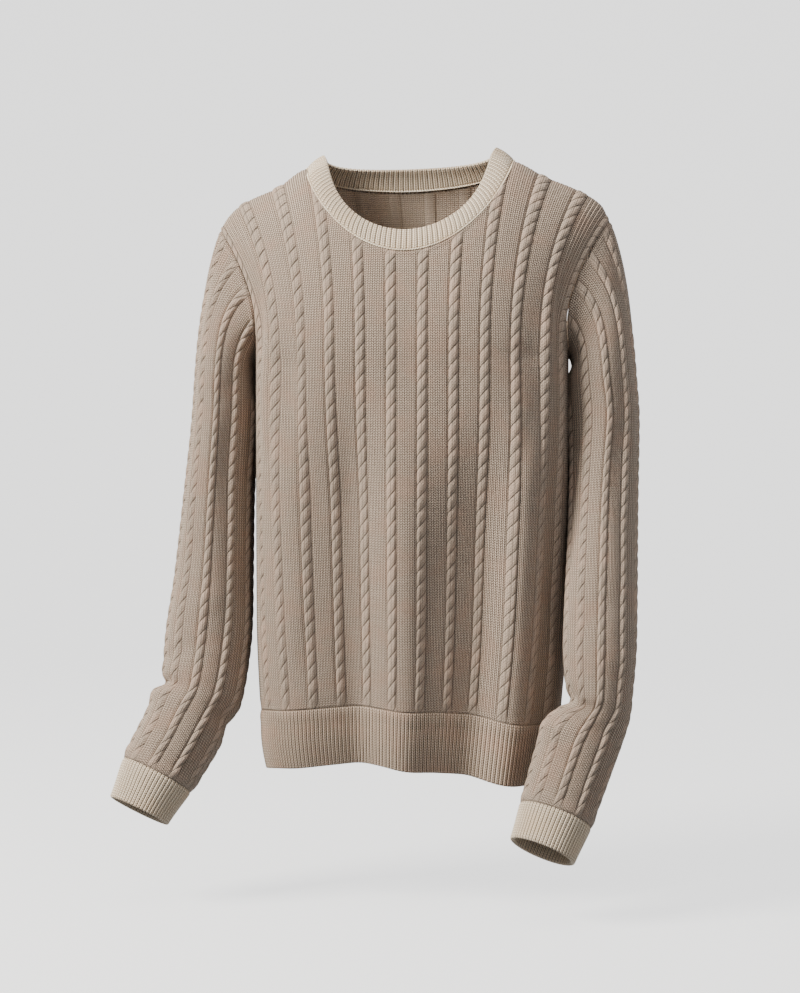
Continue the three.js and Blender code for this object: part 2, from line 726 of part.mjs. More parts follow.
// A cuff: the sleeve's last rings, drawn in a little and ribbed
function cuffWall(arm) {
  const strip = (count, crest, valley) =>
    [0, 1].map((part) => ({
      place: part,
      cells: Array.from({ length: count }, (_, i) => {
        const w = (2 * i) / count - 1;
        const z = THREE.MathUtils.lerp(arm.cuffTop - JOIN_GAP, arm.cuffEnd, part);
        const middle = between(arm.rings, "z", z);
        const centre = new THREE.Vector3(middle.x, middle.y, z);
        const out = ringPoint(arm, w, z).sub(centre);
        const lift = (i % 2 ? crest : valley) - CUFF_PULL * part;
        return { point: centre.addScaledVector(out, 1 + lift / out.length()), place: i / count };
      }),
    }));
  const skin = strip(2 * CUFF_RIBS, RIB_HEIGHT, 0);
  const lining = strip(CUFF_INSIDE_COLUMNS, -WALL, -WALL);
  return wallGeometry(skin, lining, true);
}

// Neck seam once round: over the front from the wearer's right to left, then over the back
function neckSeam() {
  const onNeck = (cell, column) => Math.abs(column.s) <= NECK_S;
  const columns = panelColumns();
  const edge = (skin) => skin[skin.length - 1].cells.filter((cell, i) => onNeck(cell, columns[i]));
  const front = edge(frontSkin).map((cell) => cell.point.clone());
  const back = edge(backSkin).map((cell) => cell.point.clone());
  const loop = [...front, ...back.reverse()];
  return [...loop, loop[0].clone()];
}

function collarWall() {
  const seam = runOf(neckSeam());
  const bandPoint = (share, part, lift) => {
    const foot = seam(share);
    const inX = -foot.x / NECK_HALF ** 2;
    const inY = (NECK_AXIS_Y - foot.y) / NECK_AXIS_REACH ** 2;
    const inwards = new THREE.Vector3(inX, inY, 0).normalize();
    const sideways = Math.min(Math.abs(foot.x) / NECK_HALF, 1) ** 2;
    const rise = THREE.MathUtils.lerp(BAND_RISE.centre, BAND_RISE.side, sideways);
    const lean = THREE.MathUtils.lerp(BAND_LEAN.centre, BAND_LEAN.side, sideways);
    const up = inwards.clone().multiplyScalar(lean).setZ(rise);
    const width = up.length();
    up.normalize();
    const outwards = inwards.clone().multiplyScalar(-rise).setZ(lean).normalize();
    const bow = BAND_BOW * Math.sin(Math.PI * part);
    return foot
      .addScaledVector(up, JOIN_GAP + (width - JOIN_GAP) * part)
      .addScaledVector(outwards, lift + bow);
  };
  const strip = (count, parts, crest, valley) =>
    parts.map((part) => ({
      place: part,
      cells: Array.from({ length: count }, (_, i) => ({
        point: bandPoint(i / count, part, i % 2 ? crest : valley),
        place: i / count,
      })),
    }));
  const skin = strip(2 * COLLAR_RIBS, [0, 1], RIB_HEIGHT, 0);
  const lining = strip(COLLAR_INSIDE_COLUMNS, [BAND_LINING_FOOT, 1], -BAND_WALL, -BAND_WALL);
  return wallGeometry(skin, lining, true);
}

const sweater = new THREE.Group();
sweater.add(piece("front", wallGeometry(frontSkin, panelLining(FRONT), false), TAUPE));
sweater.add(piece("back", wallGeometry(backSkin, panelLining(BACK), false), TAUPE));
sweater.add(piece("hem_front", hemWall(FRONT), TAUPE));
sweater.add(piece("hem_back", hemWall(BACK), TAUPE));
for (const [name, arm] of [["right", RIGHT_ARM], ["left", LEFT_ARM]]) {
  const split = CAP_ROWS + UPPER_ARM_ROWS;
  sweater.add(piece(`sleeve_${name}_upper`, sleeveWall(arm, 0, split), TAUPE));
  sweater.add(piece(`sleeve_${name}_lower`, sleeveWall(arm, split, sleeveRows(arm)), TAUPE));
}
sweater.add(piece("cuff_right", cuffWall(RIGHT_ARM), CREAM));
sweater.add(piece("cuff_left", cuffWall(LEFT_ARM), CREAM));
sweater.add(piece("collar", collarWall(), CREAM));

export default sweater;
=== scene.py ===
"""Cable knit sweater with a crew neck, filled out as it hangs on a wearer, with nobody in it.

Every knitted piece is one closed wall. Its outer face carries cables, wales and ribs as real
relief, its inner face is plain, and the stitches themselves are drawn by the finishes. Lengths
are millimetres until a mesh is made, because the frame is in metres. +Z is up, the front faces
-Y, +X is the wearer's left, and the origin lies between the neck ends of the shoulder seams.
"""

import logging
import math
from collections.abc import Callable
from dataclasses import dataclass, field
from enum import Enum

import bpy
import numpy as np
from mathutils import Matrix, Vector


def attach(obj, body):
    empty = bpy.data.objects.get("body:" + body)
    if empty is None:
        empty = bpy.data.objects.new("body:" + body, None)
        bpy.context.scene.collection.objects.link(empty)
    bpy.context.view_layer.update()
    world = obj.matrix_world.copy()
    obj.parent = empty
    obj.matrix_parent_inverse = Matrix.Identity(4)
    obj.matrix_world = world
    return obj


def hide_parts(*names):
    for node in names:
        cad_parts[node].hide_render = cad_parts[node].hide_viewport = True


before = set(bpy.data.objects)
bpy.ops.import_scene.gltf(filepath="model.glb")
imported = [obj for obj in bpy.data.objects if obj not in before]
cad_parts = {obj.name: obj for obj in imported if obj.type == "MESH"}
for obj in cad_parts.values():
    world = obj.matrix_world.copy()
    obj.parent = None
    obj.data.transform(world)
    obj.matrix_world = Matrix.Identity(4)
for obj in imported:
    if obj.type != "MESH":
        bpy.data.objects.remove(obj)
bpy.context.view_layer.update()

Array = np.ndarray
LOG = logging.getLogger("sweater")
MM = 0.001
BODY = "root"


class Face(Enum):
    """The two faces of the body."""

    FRONT = "front"
    BACK = "back"

    @property
    def side(self) -> float:
        """Which way the face looks along Y: minus is forwards."""
        return -1.0 if self is Face.FRONT else 1.0


class Side(Enum):
    """The wearer's two sides."""

    RIGHT = "right"
    LEFT = "left"

    @property
    def sign(self) -> float:
        """Which way the side lies along X: plus is the wearer's left."""
        return -1.0 if self is Side.RIGHT else 1.0


class Yarn(Enum):
    """The record's material slots."""

    MAIN = "main_yarn"
    TRIM = "trim_yarn"


def soft_step(value: Array, low: float, high: float) -> Array:
    """A step from 0 to 1 that starts and ends softly.

    Args:
        value: Where the step is read.
        low: Where it leaves 0.
        high: Where it reaches 1.

    Returns:
        The step's height at each value.
    """
    share = np.clip((np.asarray(value, float) - low) / (high - low), 0.0, 1.0)
    return share * share * (3.0 - 2.0 * share)


def bell(distance: Array, width: float) -> Array:
    """A soft bump, 1 in its middle and 1/e at its width.

    Args:
        distance: Distance from the middle.
        width: Distance where the bump has fallen to 1/e.

    Returns:
        The bump's height at each distance.
    """
    return np.exp(-((np.asarray(distance, float) / width) ** 2))


def mixed(start: Array, end: Array, share: Array) -> Array:
    """The value a share of the way from start to end."""
    return start + (end - start) * share


def unit(vectors: Array) -> Array:
    """The same directions with a length of 1."""
    return vectors / np.maximum(np.linalg.norm(vectors, axis=-1, keepdims=True), 1e-12)


@dataclass(frozen=True)
class Table:
    """A short table with named columns, read smoothly between its rows.

    The first column is the one that the rows are placed along.
    """

    columns: tuple[str, ...]
    rows: tuple[tuple[float, ...], ...]

    def read(self, place: Array) -> dict[str, Array]:
        """Every other column at each place, held at the table's ends.

        Args:
            place: Places along the first column.

        Returns:
            One array for each column, by its name.
        """
        grid = np.array(sorted(self.rows), float)
        keys = grid[:, 0]
        held = np.clip(np.asarray(place, float), keys[0], keys[-1])
        low = np.clip(np.searchsorted(keys, held, side="left") - 1, 0, len(keys) - 2)
        span = keys[low + 1] - keys[low]
        u = (held - keys[low]) / span
        found = {}
        for number, name in enumerate(self.columns[1:], start=1):
            values = grid[:, number]
            step = np.diff(values) / np.diff(keys)
            before, after = step[:-1], step[1:]
            turning = before * after <= 0
            total = np.where(turning, 1.0, before + after)
            slope = np.concatenate(
                [step[:1], np.where(turning, 0.0, 2 * before * after / total), step[-1:]]
            )
            found[name] = (
                values[low] * (1 + 2 * u) * (1 - u) ** 2
                + values[low + 1] * u * u * (3 - 2 * u)
                + slope[low] * span * u * (1 - u) ** 2
                + slope[low + 1] * span * u * u * (u - 1)
            )
        return found


# Cloth
WALL = 2.2
BAND_WALL = 2.4
SEAM_GAP = 0.3
JOIN_GAP = 0.25

# Seams: half-width of the dip, and how far off and how wide the ridge beside it is
SEAM_WIDTH = 1.4
RIDGE_AWAY = 3.6
RIDGE_WIDTH = 2.2

# Body: flat half-width of a panel, and the heights where the armhole begins and runs straight
PANEL_HALF = 210.0
UNDERARM_Z = -190.0
YOKE_Z = -140.0
SHOULDER_S = 165.0
YOKE_SPREAD = 1.296
YOKE_CROWD = (0.116, 8)
YOKE_SHIFT = 5.0
CHEST_ROUND = 1.75
BODY_RINGS = Table(
    ("z", "half", "front", "back", "square", "shift"),
    (
        (-660, 139, 60, 72, 2.6, 0),
        (-605, 143, 64, 76, 2.65, 0),
        (-545, 149, 69, 81, 2.7, 1.5),
        (-450, 154, 77, 86, 2.8, 3),
        (-350, 154.5, 85, 92, 2.9, 3.5),
        (-260, 154.5, 92, 97, 3, 3.7),
        (-190, 154.5, 94, 99, 3, 3.7),
    ),
)
SHOULDER_LINE = Table(
    ("x", "z"),
    (
        (-222, -118),
        (-190, -64),
        (-181, -50),
        (-168, -38),
        (-131, -21),
        (-103, -3),
        (-50, 4),
        (50, 9),
        (103, 3),
        (137, -14),
        (170, -28),
        (191, -42),
        (200, -59),
        (230, -112),
    ),
)
PANEL_EDGE = Table(
    ("z", "s"),
    ((-190, 210), (-183, 192), (-172, 178), (-157, 169), (-140, 165.5), (-120, 165), (20, 165)),
)
HEM_LINES = Table(
    ("s", "top", "bottom"),
    (
        (-210, -545, -604),
        (-100, -538, -595),
        (-30, -536.5, -593),
        (15, -538.5, -597.5),
        (66, -543.5, -603.5),
        (145, -553, -613.5),
        (210, -560, -618),
    ),
)

# Distance over which folds and relief fade into a side edge
FOLD_FADE = 14.0

# A direction that points away from the body: outwards, and upwards on the yoke
AWAY_ACROSS = 0.6
AWAY_UP = 60.0

# Neck
NECK_HALF = 103.0
NECK_S = 80.0
NECK_DROP = {Face.FRONT: 95.0, Face.BACK: 20.0}
NECK_AXIS_Y = -20.0
NECK_REACH_Y = 70.0

# Soft vertical folds that the hem gathers: place across, depth (minus is a trough), width, and
# the heights where each is full and where it has faded out
FOLDS = {
    Face.FRONT: (
        (-54, -14, 23, -350, -190),
        (-84, -7, 30, -350, -190),
        (0, 12, 25, -380, -200),
        (48, -6, 28, -440, -260),
        (76, -13, 23, -400, -230),
        (114, 12, 24, -340, -190),
        (-125, 6, 26, -360, -200),
        (150, -4, 16, -360, -240),
    ),
    Face.BACK: (
        (-95, -10, 28, -585, -320),
        (-40, 5, 24, -560, -400),
        (22, -8, 25, -570, -370),
        (88, 6, 26, -540, -350),
        (140, -7, 22, -580, -400),
    ),
}

# Creases of a face: place across, height, depth, length, width and tilt of its length from
# upright, in degrees, plus leaning to the wearer's left at the top
CREASES = {
    Face.FRONT: (
        (152, -150, -4, 46, 9, 0),
        (-152, -155, -4, 50, 9, 0),
        (120, -196, -1.2, 10, 26, 0),
        (-124, -205, -1.2, 11, 28, 0),
        (-146, -222, 5, 55, 9, 0),
        (-117, -222, -5, 50, 13, 0),
        (138, -200, 5, 60, 10, 0),
        (112, -282, -1.8, 46, 12, 20),
        (-104, -300, -1.6, 52, 13, -16),
        (30, -170, 1.4, 60, 20, 8),
        (-44, -186, -1.2, 60, 18, -6),
        (-20, -330, 1.2, 70, 16, 4),
        (48, -352, -1.4, 66, 15, 7),
        (-60, -420, 1.6, 60, 13, -5),
        (104, -430, 1.8, 62, 12, 5),
        (20, -470, -1.8, 52, 12, -3),
        (-110, -486, -2.0, 44, 11, 6),
        (164, -452, -2.4, 50, 9, -8),
    ),
    Face.BACK: (
        (152, -150, -4, 46, 9, 0),
        (-152, -155, -4, 50, 9, 0),
        (120, -196, -4, 10, 26, 0),
        (-124, -205, -4, 11, 28, 0),
        (128, -240, 2.2, 52, 12, 26),
        (-134, -232, 2.0, 46, 11, -22),
        (96, -300, -1.8, 56, 13, 18),
        (-110, -290, -1.8, 50, 13, -20),
        (12, -150, 1.3, 58, 22, -4),
        (-30, -260, -1.3, 64, 18, 6),
        (56, -400, 1.7, 60, 14, 5),
        (-70, -440, 1.6, 58, 13, -6),
        (-8, -490, -1.9, 48, 12, 2),
        (150, -470, -2.2, 46, 10, 7),
    ),
}

# Sleeves below the underarm: middle of each ring, half-width outwards, half-depth forwards
ARM_RINGS = {
    Side.RIGHT: Table(
        ("z", "x", "y", "across", "deep"),
        (
            (-680, -281, -68, 31, 30),
            (-640, -262, -54, 32, 31),
            (-606, -246, -42, 36.5, 35),
            (-565, -224.5, -28, 39, 38),
            (-527, -207.5, -15, 40.5, 42),
            (-469, -200.5, -6, 41.5, 44),
            (-417, -196.5, -2, 38, 47),
            (-319, -190.5, 0, 32.5, 51),
            (-254, -186.5, 1, 29.5, 53),
            (-215, -185, 2, 28.5, 54),
        ),
    ),
    Side.LEFT: Table(
        ("z", "x", "y", "across", "deep"),
        (
            (-706, 114, -130, 32, 30),
            (-664, 132, -112, 32.5, 31),
            (-632, 145, -98, 34.5, 34),
            (-572, 166, -79, 37.5, 37),
            (-528, 186, -68, 31, 44),
            (-470, 187.5, -62, 34.5, 43),
            (-417, 189.5, -47, 34, 46),
            (-339, 193, -18, 32.5, 50),
            (-255, 198, 1, 29.5, 54),
            (-215, 194.5, 2, 30.5, 54),
        ),
    ),
}

# Creases of a sleeve: height, place around from the outer line (minus is the front, plus the
# back, one is the underarm line), depth, how far it spreads along and around, and how far it
# drops for each half turn around
ARM_CREASES = {
    Side.RIGHT: (
        (-528, -0.08, -6, 9, 0.3, 0),
        (-546, -0.1, 4, 9, 0.3, 0),
        (-540, -0.86, -6, 8, 0.16, 0),
        (-512, 0.3, -5, 9, 0.2, 0),
        (-545, 0.82, -6, 9, 0.2, 0),
        (-300, -0.62, -3.5, 60, 0.1, 0),
        (-250, 1.0, 4, 50, 0.3, 0),
        (-492, -0.3, -1.8, 9, 0.24, 46),
        (-576, -0.42, -1.6, 8, 0.2, -40),
        (-438, -0.5, 1.4, 16, 0.22, 60),
        (-390, -0.34, -1.3, 20, 0.14, 80),
        (-236, -0.5, -1.6, 18, 0.16, 70),
        (-470, 0.6, -2.0, 12, 0.24, -50),
        (-400, 0.5, 1.5, 26, 0.16, 60),
    ),
    Side.LEFT: (
        (-530, -0.88, -4, 14, 0.2, 0),
        (-541, -0.62, -7, 8, 0.18, 0),
        (-552, -0.38, -4, 9, 0.16, 0),
        (-566, -0.8, 4, 10, 0.2, 0),
        (-535, 0.86, -4, 14, 0.26, 0),
        (-500, 0.3, -5, 10, 0.22, 0),
        (-300, -0.4, -3, 60, 0.1, 0),
        (-250, 1.0, 11, 62, 0.35, 0),
        (-594, -0.5, -1.8, 9, 0.22, 36),
        (-488, -0.34, 1.5, 14, 0.24, 60),
        (-452, -0.55, -1.6, 14, 0.2, -50),
        (-380, -0.3, -1.2, 24, 0.14, 80),
        (-236, -0.5, -1.6, 18, 0.16, 70),
        (-560, 0.4, -2.0, 10, 0.24, -40),
        (-420, 0.55, 1.5, 26, 0.16, 60),
    ),
}
CAP_BELOW = -215.0
CAP_SPAN = 9.0
CABLE_ROW = 15.5
CAP_OUT = (0.36, 0.8)
CAP_FALL = 1.3
CUFF_TOP = {Side.RIGHT: -606.0, Side.LEFT: -632.0}
CUFF_END = {Side.RIGHT: -640.0, Side.LEFT: -664.0}
INNER_CABLES = {"beyond": 0.8, "start": -228.0, "fade": 20.0}


@dataclass(frozen=True)
class RopeCable:
    """A cable of two strands that cross over each other at an even spacing.

    Attributes:
        half: Half its width.
        rise: How far it stands out of the ground.
        crossing: Distance from one crossing to the next.
        groove: Share of the rise that the crease between strands takes.
        fullness: How flat a strand's top is: 2 is round, and more is flatter.
        moat: Depth of the purl stitch beside the cable.
        wind: How many strands one crease passes from side to side.
        fade: Distance over which it flattens into a seam.
        moat_width: Width of the moat, as a share of half the cable.
    """

    half: float = 4.9
    rise: float = 2.5
    crossing: float = 14.0
    groove: float = 0.75
    fullness: float = 2.5
    moat: float = 0.9
    wind: float = 1.25
    fade: float = 13.0
    moat_width: float = 0.28

    TURNED_UNDER = 0.97

    def phase(self, offset: Array, along: Array) -> Array:
        """Count of strands passed, from the bottom up, at a place on the cable.

        Args:
            offset: Distance from the cable's middle, plus to the right as seen from outside.
            along: Length along the cable.

        Returns:
            A number that rises by 1 from one strand to the next.
        """
        across = np.clip(offset / self.half, -1.0, 1.0)
        turned = np.arcsin(across * self.TURNED_UNDER) / math.pi
        return along / self.crossing - self.wind * turned

    def height(self, offset: Array, along: Array) -> Array:
        """Height of the rope over the ground.

        Args:
            offset: Distance from the cable's middle, plus to the right as seen from outside.
            along: Length along the cable.

        Returns:
            The height, minus in the moats beside the cable.
        """
        across = offset / self.half
        body = np.sqrt(np.clip(1.0 - across**2, 0.0, 1.0))
        turn = self.phase(offset, along) % 1.0
        strand = np.clip(1.0 - np.abs(2.0 * turn - 1.0) ** self.fullness, 0.0, 1.0) ** 0.5
        rope = self.rise * body * (1.0 - self.groove * (1.0 - strand))
        beside = np.abs(across) - 1.0
        return np.where(beside < 0, rope, 0.0) - self.moat * bell(beside, self.moat_width)


@dataclass(frozen=True)
class CableKnit:
    """Cables set evenly across a ground of plain wales.

    Attributes:
        pitch: Distance from one cable's middle to the next.
        wales: Wales of the ground between two cables.
        rope: The cable.
        wale_height: How far a wale's middle stands over its sides.
        course: Height of a stitch.
        cable_columns: Mesh columns from one side of a cable to the other.
        last: Number of the last cable where the first is 0, or None round a tube.
        hand: 1 where cells are counted to the right as seen from outside, or else -1.
    """

    pitch: float = 29.6
    wales: int = 6
    rope: RopeCable = field(default_factory=RopeCable)
    wale_height: float = 0.8
    course: float = 2.45
    cable_columns: int = 10
    last: int | None = None
    hand: float = 1.0

    def cell_places(self) -> Array:
        """Places of the mesh columns in a cell, from one cable's middle to the next, as shares."""
        half = self.rope.half / self.pitch
        cable = np.linspace(-half, half, self.cable_columns + 1)
        ground = np.linspace(half, 1.0 - half, 2 * self.wales + 1)[1:-1]
        moat = (self.rope.half * 1.22) / self.pitch
        return np.unique(np.concatenate([cable % 1.0, ground, [moat, 1.0 - moat]]).round(6))

    def offset(self, across: Array, cell: Array) -> Array:
        """Distance from a cable's middle, plus to the right as seen from outside.

        Args:
            across: Cells from the first cable's middle.
            cell: Number of the cable, far off where the knit has no such cable.

        Returns:
            The distance, over twice the pitch where there is no cable.
        """
        apart = (across - cell) * self.pitch
        if self.last is not None:
            missing = (cell < 0) | (cell > self.last)
            apart = np.where(missing, np.abs(apart) + 2 * self.pitch, apart)
        return apart * self.hand

    def wale(self, across: Array) -> Array:
        """Count of ground wales passed, a whole number at each groove between wales.

        Args:
            across: Cells from the first cable's middle.

        Returns:
            The count, which repeats evenly from cell to cell.
        """
        cell = np.floor(across)
        inside = (across - cell) * self.pitch
        width = (self.pitch - 2 * self.rope.half) / self.wales
        return cell * self.wales + (inside - self.rope.half) / width

    def relief(self, across: Array, along: Array) -> Array:
        """Height of the knit over its cloth.

        Args:
            across: Cells from the first cable's middle.
            along: Length along the wales.

        Returns:
            The height at each place.
        """
        offset = self.offset(across, np.round(across))
        ground = self.wale_height * np.abs(np.sin(math.pi * self.wale(across)))
        rope = self.rope.height(offset, along)
        return rope + np.where(np.abs(offset) > self.rope.half, ground, 0.0)

    def maps(self, across: Array, along: Array) -> tuple[Array, Array]:
        """The two maps that the finishes read, at the corners of faces.

        Args:
            across: Cells from the first cable's middle, a row for each face.
            along: Length along the wales, a row for each face.

        Returns:
            Wales and courses passed, and strands passed with the place across the rope.
        """
        stitches = np.stack([self.wale(across), along / self.course], axis=-1)
        cell = np.round(across.mean(axis=1, keepdims=True))
        offset = self.offset(across, cell)
        rope = np.stack([self.rope.phase(offset, along), offset / self.rope.half], axis=-1)
        return stitches, rope


@dataclass(frozen=True)
class RibKnit:
    """Plain ribs side by side, with a narrow groove between them.

    Attributes:
        rise: How far a rib's crest stands over its groove.
        course: Height of a stitch.
        places: Places of the mesh columns in a rib, as shares of its width.
    """

    rise: float = 1.5
    course: float = 2.5
    places: tuple[float, ...] = (0.0, 0.1, 0.26, 0.5, 0.74, 0.9)

    def relief(self, ribs: Array) -> Array:
        """Height of the ribs, where ribs counts them from a groove."""
        return self.rise * (1.0 - np.abs(2.0 * (ribs % 1.0) - 1.0) ** 3.2)

    def columns(self, count: int) -> Array:
        """Places of the mesh columns of some ribs, counted in ribs, with the last groove."""
        places = (np.arange(count)[:, None] + np.array(self.places)[None, :]).ravel()
        return np.append(places, float(count))

    def maps(self, across: Array, along: Array) -> tuple[Array, Array]:
        """The two maps that the finishes read: ribs and courses passed, and no rope."""
        return np.stack([across, along / self.course], axis=-1), np.full((*across.shape, 2), 9.0)


class BodyForm:
    """The hollow body: rounded rings below the underarm, and a yoke that leans in above it."""

    LEVELS = 190
    QUARTER_STEPS = 400
    SHARES = 421
    STEP = 0.5

    def __init__(self) -> None:
        """Works out a quarter ring by its length, at each of many levels."""
        lowest = min(row[0] for row in BODY_RINGS.rows)
        self.levels = np.linspace(lowest, UNDERARM_Z, self.LEVELS)
        self.shares = np.linspace(0.0, 1.0, self.SHARES)
        self.quarters = {face: self._quarters(face) for face in Face}

    def _quarters(self, face: Face) -> tuple[Array, Array]:
        """Place across and depth of a quarter ring, by level and share of its length."""
        ring = BODY_RINGS.read(self.levels)
        angle = np.linspace(0.0, math.pi / 2, self.QUARTER_STEPS)[None, :]
        power = 2.0 / ring["square"][:, None]
        x = ring["half"][:, None] * np.sin(angle) ** power
        y = ring[face.value][:, None] * np.clip(np.cos(angle), 0.0, 1.0) ** power
        steps = np.hypot(np.diff(x, axis=1), np.diff(y, axis=1))
        length = np.concatenate([np.zeros((len(x), 1)), np.cumsum(steps, axis=1)], axis=1)
        pick = [
            (np.interp(self.shares * run[-1], run, xs), np.interp(self.shares * run[-1], run, ys))
            for run, xs, ys in zip(length, x, y)
        ]
        return np.array([p[0] for p in pick]), np.array([p[1] for p in pick])

    def flat(self, face: Face, s: Array, z: Array) -> tuple[Array, Array]:
        """Place across and depth on the rings for a place across the flat panel and a height."""
        level = np.clip((z - self.levels[0]) / (self.levels[1] - self.levels[0]), 0, self.LEVELS - 1)
        share = np.clip(np.abs(s) / PANEL_HALF, 0, 1) * (self.SHARES - 1)
        row = np.minimum(level.astype(int), self.LEVELS - 2)
        column = np.minimum(share.astype(int), self.SHARES - 2)
        up, out = level - row, share - column
        found = []
        for grid in self.quarters[face]:
            low = mixed(grid[row, column], grid[row, column + 1], out)
            high = mixed(grid[row + 1, column], grid[row + 1, column + 1], out)
            found.append(mixed(low, high, up))
        return found[0], found[1]

    @staticmethod
    def shoulder_place(s: Array) -> Array:
        """Place across on the shoulder line of a place across the flat panel."""
        out = np.abs(s / SHOULDER_S)
        crowd, power = YOKE_CROWD
        return s * (YOKE_SPREAD - crowd * out**power) + YOKE_SHIFT * out**2

    def shoulder_height(self, s: Array) -> Array:
        """Height of the shoulder line over a place across the flat panel."""
        return SHOULDER_LINE.read(self.shoulder_place(s))["z"]

    def top(self, face: Face, s: Array) -> Array:
        """Height of a panel's upper edge: the neck seam, and the shoulder seam at both sides."""
        share = np.clip(np.abs(s) / NECK_S, 0.0, 1.0)
        ends = [self.shoulder_height(np.array(side * NECK_S)) for side in (-1.0, 1.0)]
        level = mixed(ends[0], ends[1], (s / NECK_S + 1) / 2)
        neck = level - NECK_DROP[face] * np.sqrt(1 - share**2)
        return np.where(np.abs(s) >= NECK_S, self.shoulder_height(s), neck)

    def base(self, face: Face, s: Array, z: Array) -> Array:
        """Point of a face without folds or relief.

        Args:
            face: Which face.
            s: Place across the flat panel.
            z: Height.

        Returns:
            Points, with X, Y and Z in the last axis.
        """
        s = np.clip(s, -PANEL_HALF, PANEL_HALF)
        below = np.minimum(z, UNDERARM_Z)
        across, depth = self.flat(face, s, below)
        x = np.where(s < 0, -1.0, 1.0) * across + BODY_RINGS.read(below)["shift"]
        climb = np.clip((z - UNDERARM_Z) / (self.shoulder_height(s) - UNDERARM_Z), 0.0, 1.0)
        x = mixed(x, self.shoulder_place(s), climb**2)
        depth = depth * np.clip(1 - climb**CHEST_ROUND, 0, 1) ** (1 / CHEST_ROUND)
        return np.stack([x, face.side * (depth + SEAM_GAP / 2), z], axis=-1)

    def folds(self, face: Face, s: Array, z: Array) -> Array:
        """Depth of the gathers and creases of a face, none at its side edges."""
        depth = np.zeros(np.broadcast(s, z).shape)
        for place, deep, width, full, gone in FOLDS[face]:
            depth += deep * (1 - soft_step(z, full, gone)) * bell(s - place, width)
        for place, height, deep, tall, wide, tilt in CREASES[face]:
            lean = math.radians(tilt)
            across, up = s - place, z - height
            along = up * math.cos(lean) + across * math.sin(lean)
            beside = across * math.cos(lean) - up * math.sin(lean)
            depth += deep * bell(along, tall) * bell(beside, wide)
        edge = PANEL_EDGE.read(z)["s"]
        return depth * soft_step(edge - np.abs(s), 0.0, FOLD_FADE)

    def frame_at(self, face: Face, s: Array, z: Array) -> tuple[Array, Array]:
        """Points of a face without relief, and the directions out of the cloth there."""
        step = self.STEP
        here = self.base(face, s, z)
        across = self.base(face, s + step, z) - self.base(face, s - step, z)
        along = self.base(face, s, z + step) - self.base(face, s, z - step)
        out = np.cross(across, along)
        out[..., 1] = np.where(np.abs(here[..., 1]) <= SEAM_GAP, 0.0, out[..., 1])
        out = unit(out)
        upwards = np.where(z > YOKE_Z, AWAY_UP, 0.0)
        away = np.stack([here[..., 0] * AWAY_ACROSS, here[..., 1], upwards], -1)
        out = np.where(np.sum(out * away, axis=-1, keepdims=True) < 0, -out, out)
        return here, out

    def point(self, face: Face, s: Array, z: Array, lift: Array) -> Array:
        """Points of a face moved out of the cloth by a lift, over its folds."""
        here, out = self.frame_at(face, s, np.minimum(z, self.top(face, s)))
        return here + out * (lift + self.folds(face, s, z))[..., None]


def run_length(points: Array) -> Array:
    """Length passed at each point of a run, from 0 at its first."""
    steps = np.linalg.norm(np.diff(points, axis=0), axis=-1)
    return np.concatenate([np.zeros((1, *steps.shape[1:])), np.cumsum(steps, axis=0)])


def along_run(points: Array, share: Array) -> Array:
    """Points of a run at shares of its length, from 0 to 1."""
    length = run_length(points)
    wanted = np.clip(share, 0.0, 1.0) * length[-1]
    return np.stack([np.interp(wanted, length, points[:, axis]) for axis in range(3)], axis=-1)


@dataclass
class Skin:
    """One face of a wall: a grid of points, row by row, with the knit's own places at each.

    Attributes:
        points: The points, with X, Y and Z in the last axis.
        across: Cells or ribs passed at each point.
        along: Length along the wales at each point.
    """

    points: Array
    across: Array
    along: Array

    def every(self, row_step: int, column_step: int) -> "Skin":
        """A coarser grid of the same face, which keeps its first and last rows and columns."""
        height, width = self.across.shape
        rows = np.unique(np.append(np.arange(0, height, row_step), height - 1))
        columns = np.unique(np.append(np.arange(0, width, column_step), width - 1))
        pick = np.ix_(rows, columns)
        return Skin(self.points[pick], self.across[pick], self.along[pick])


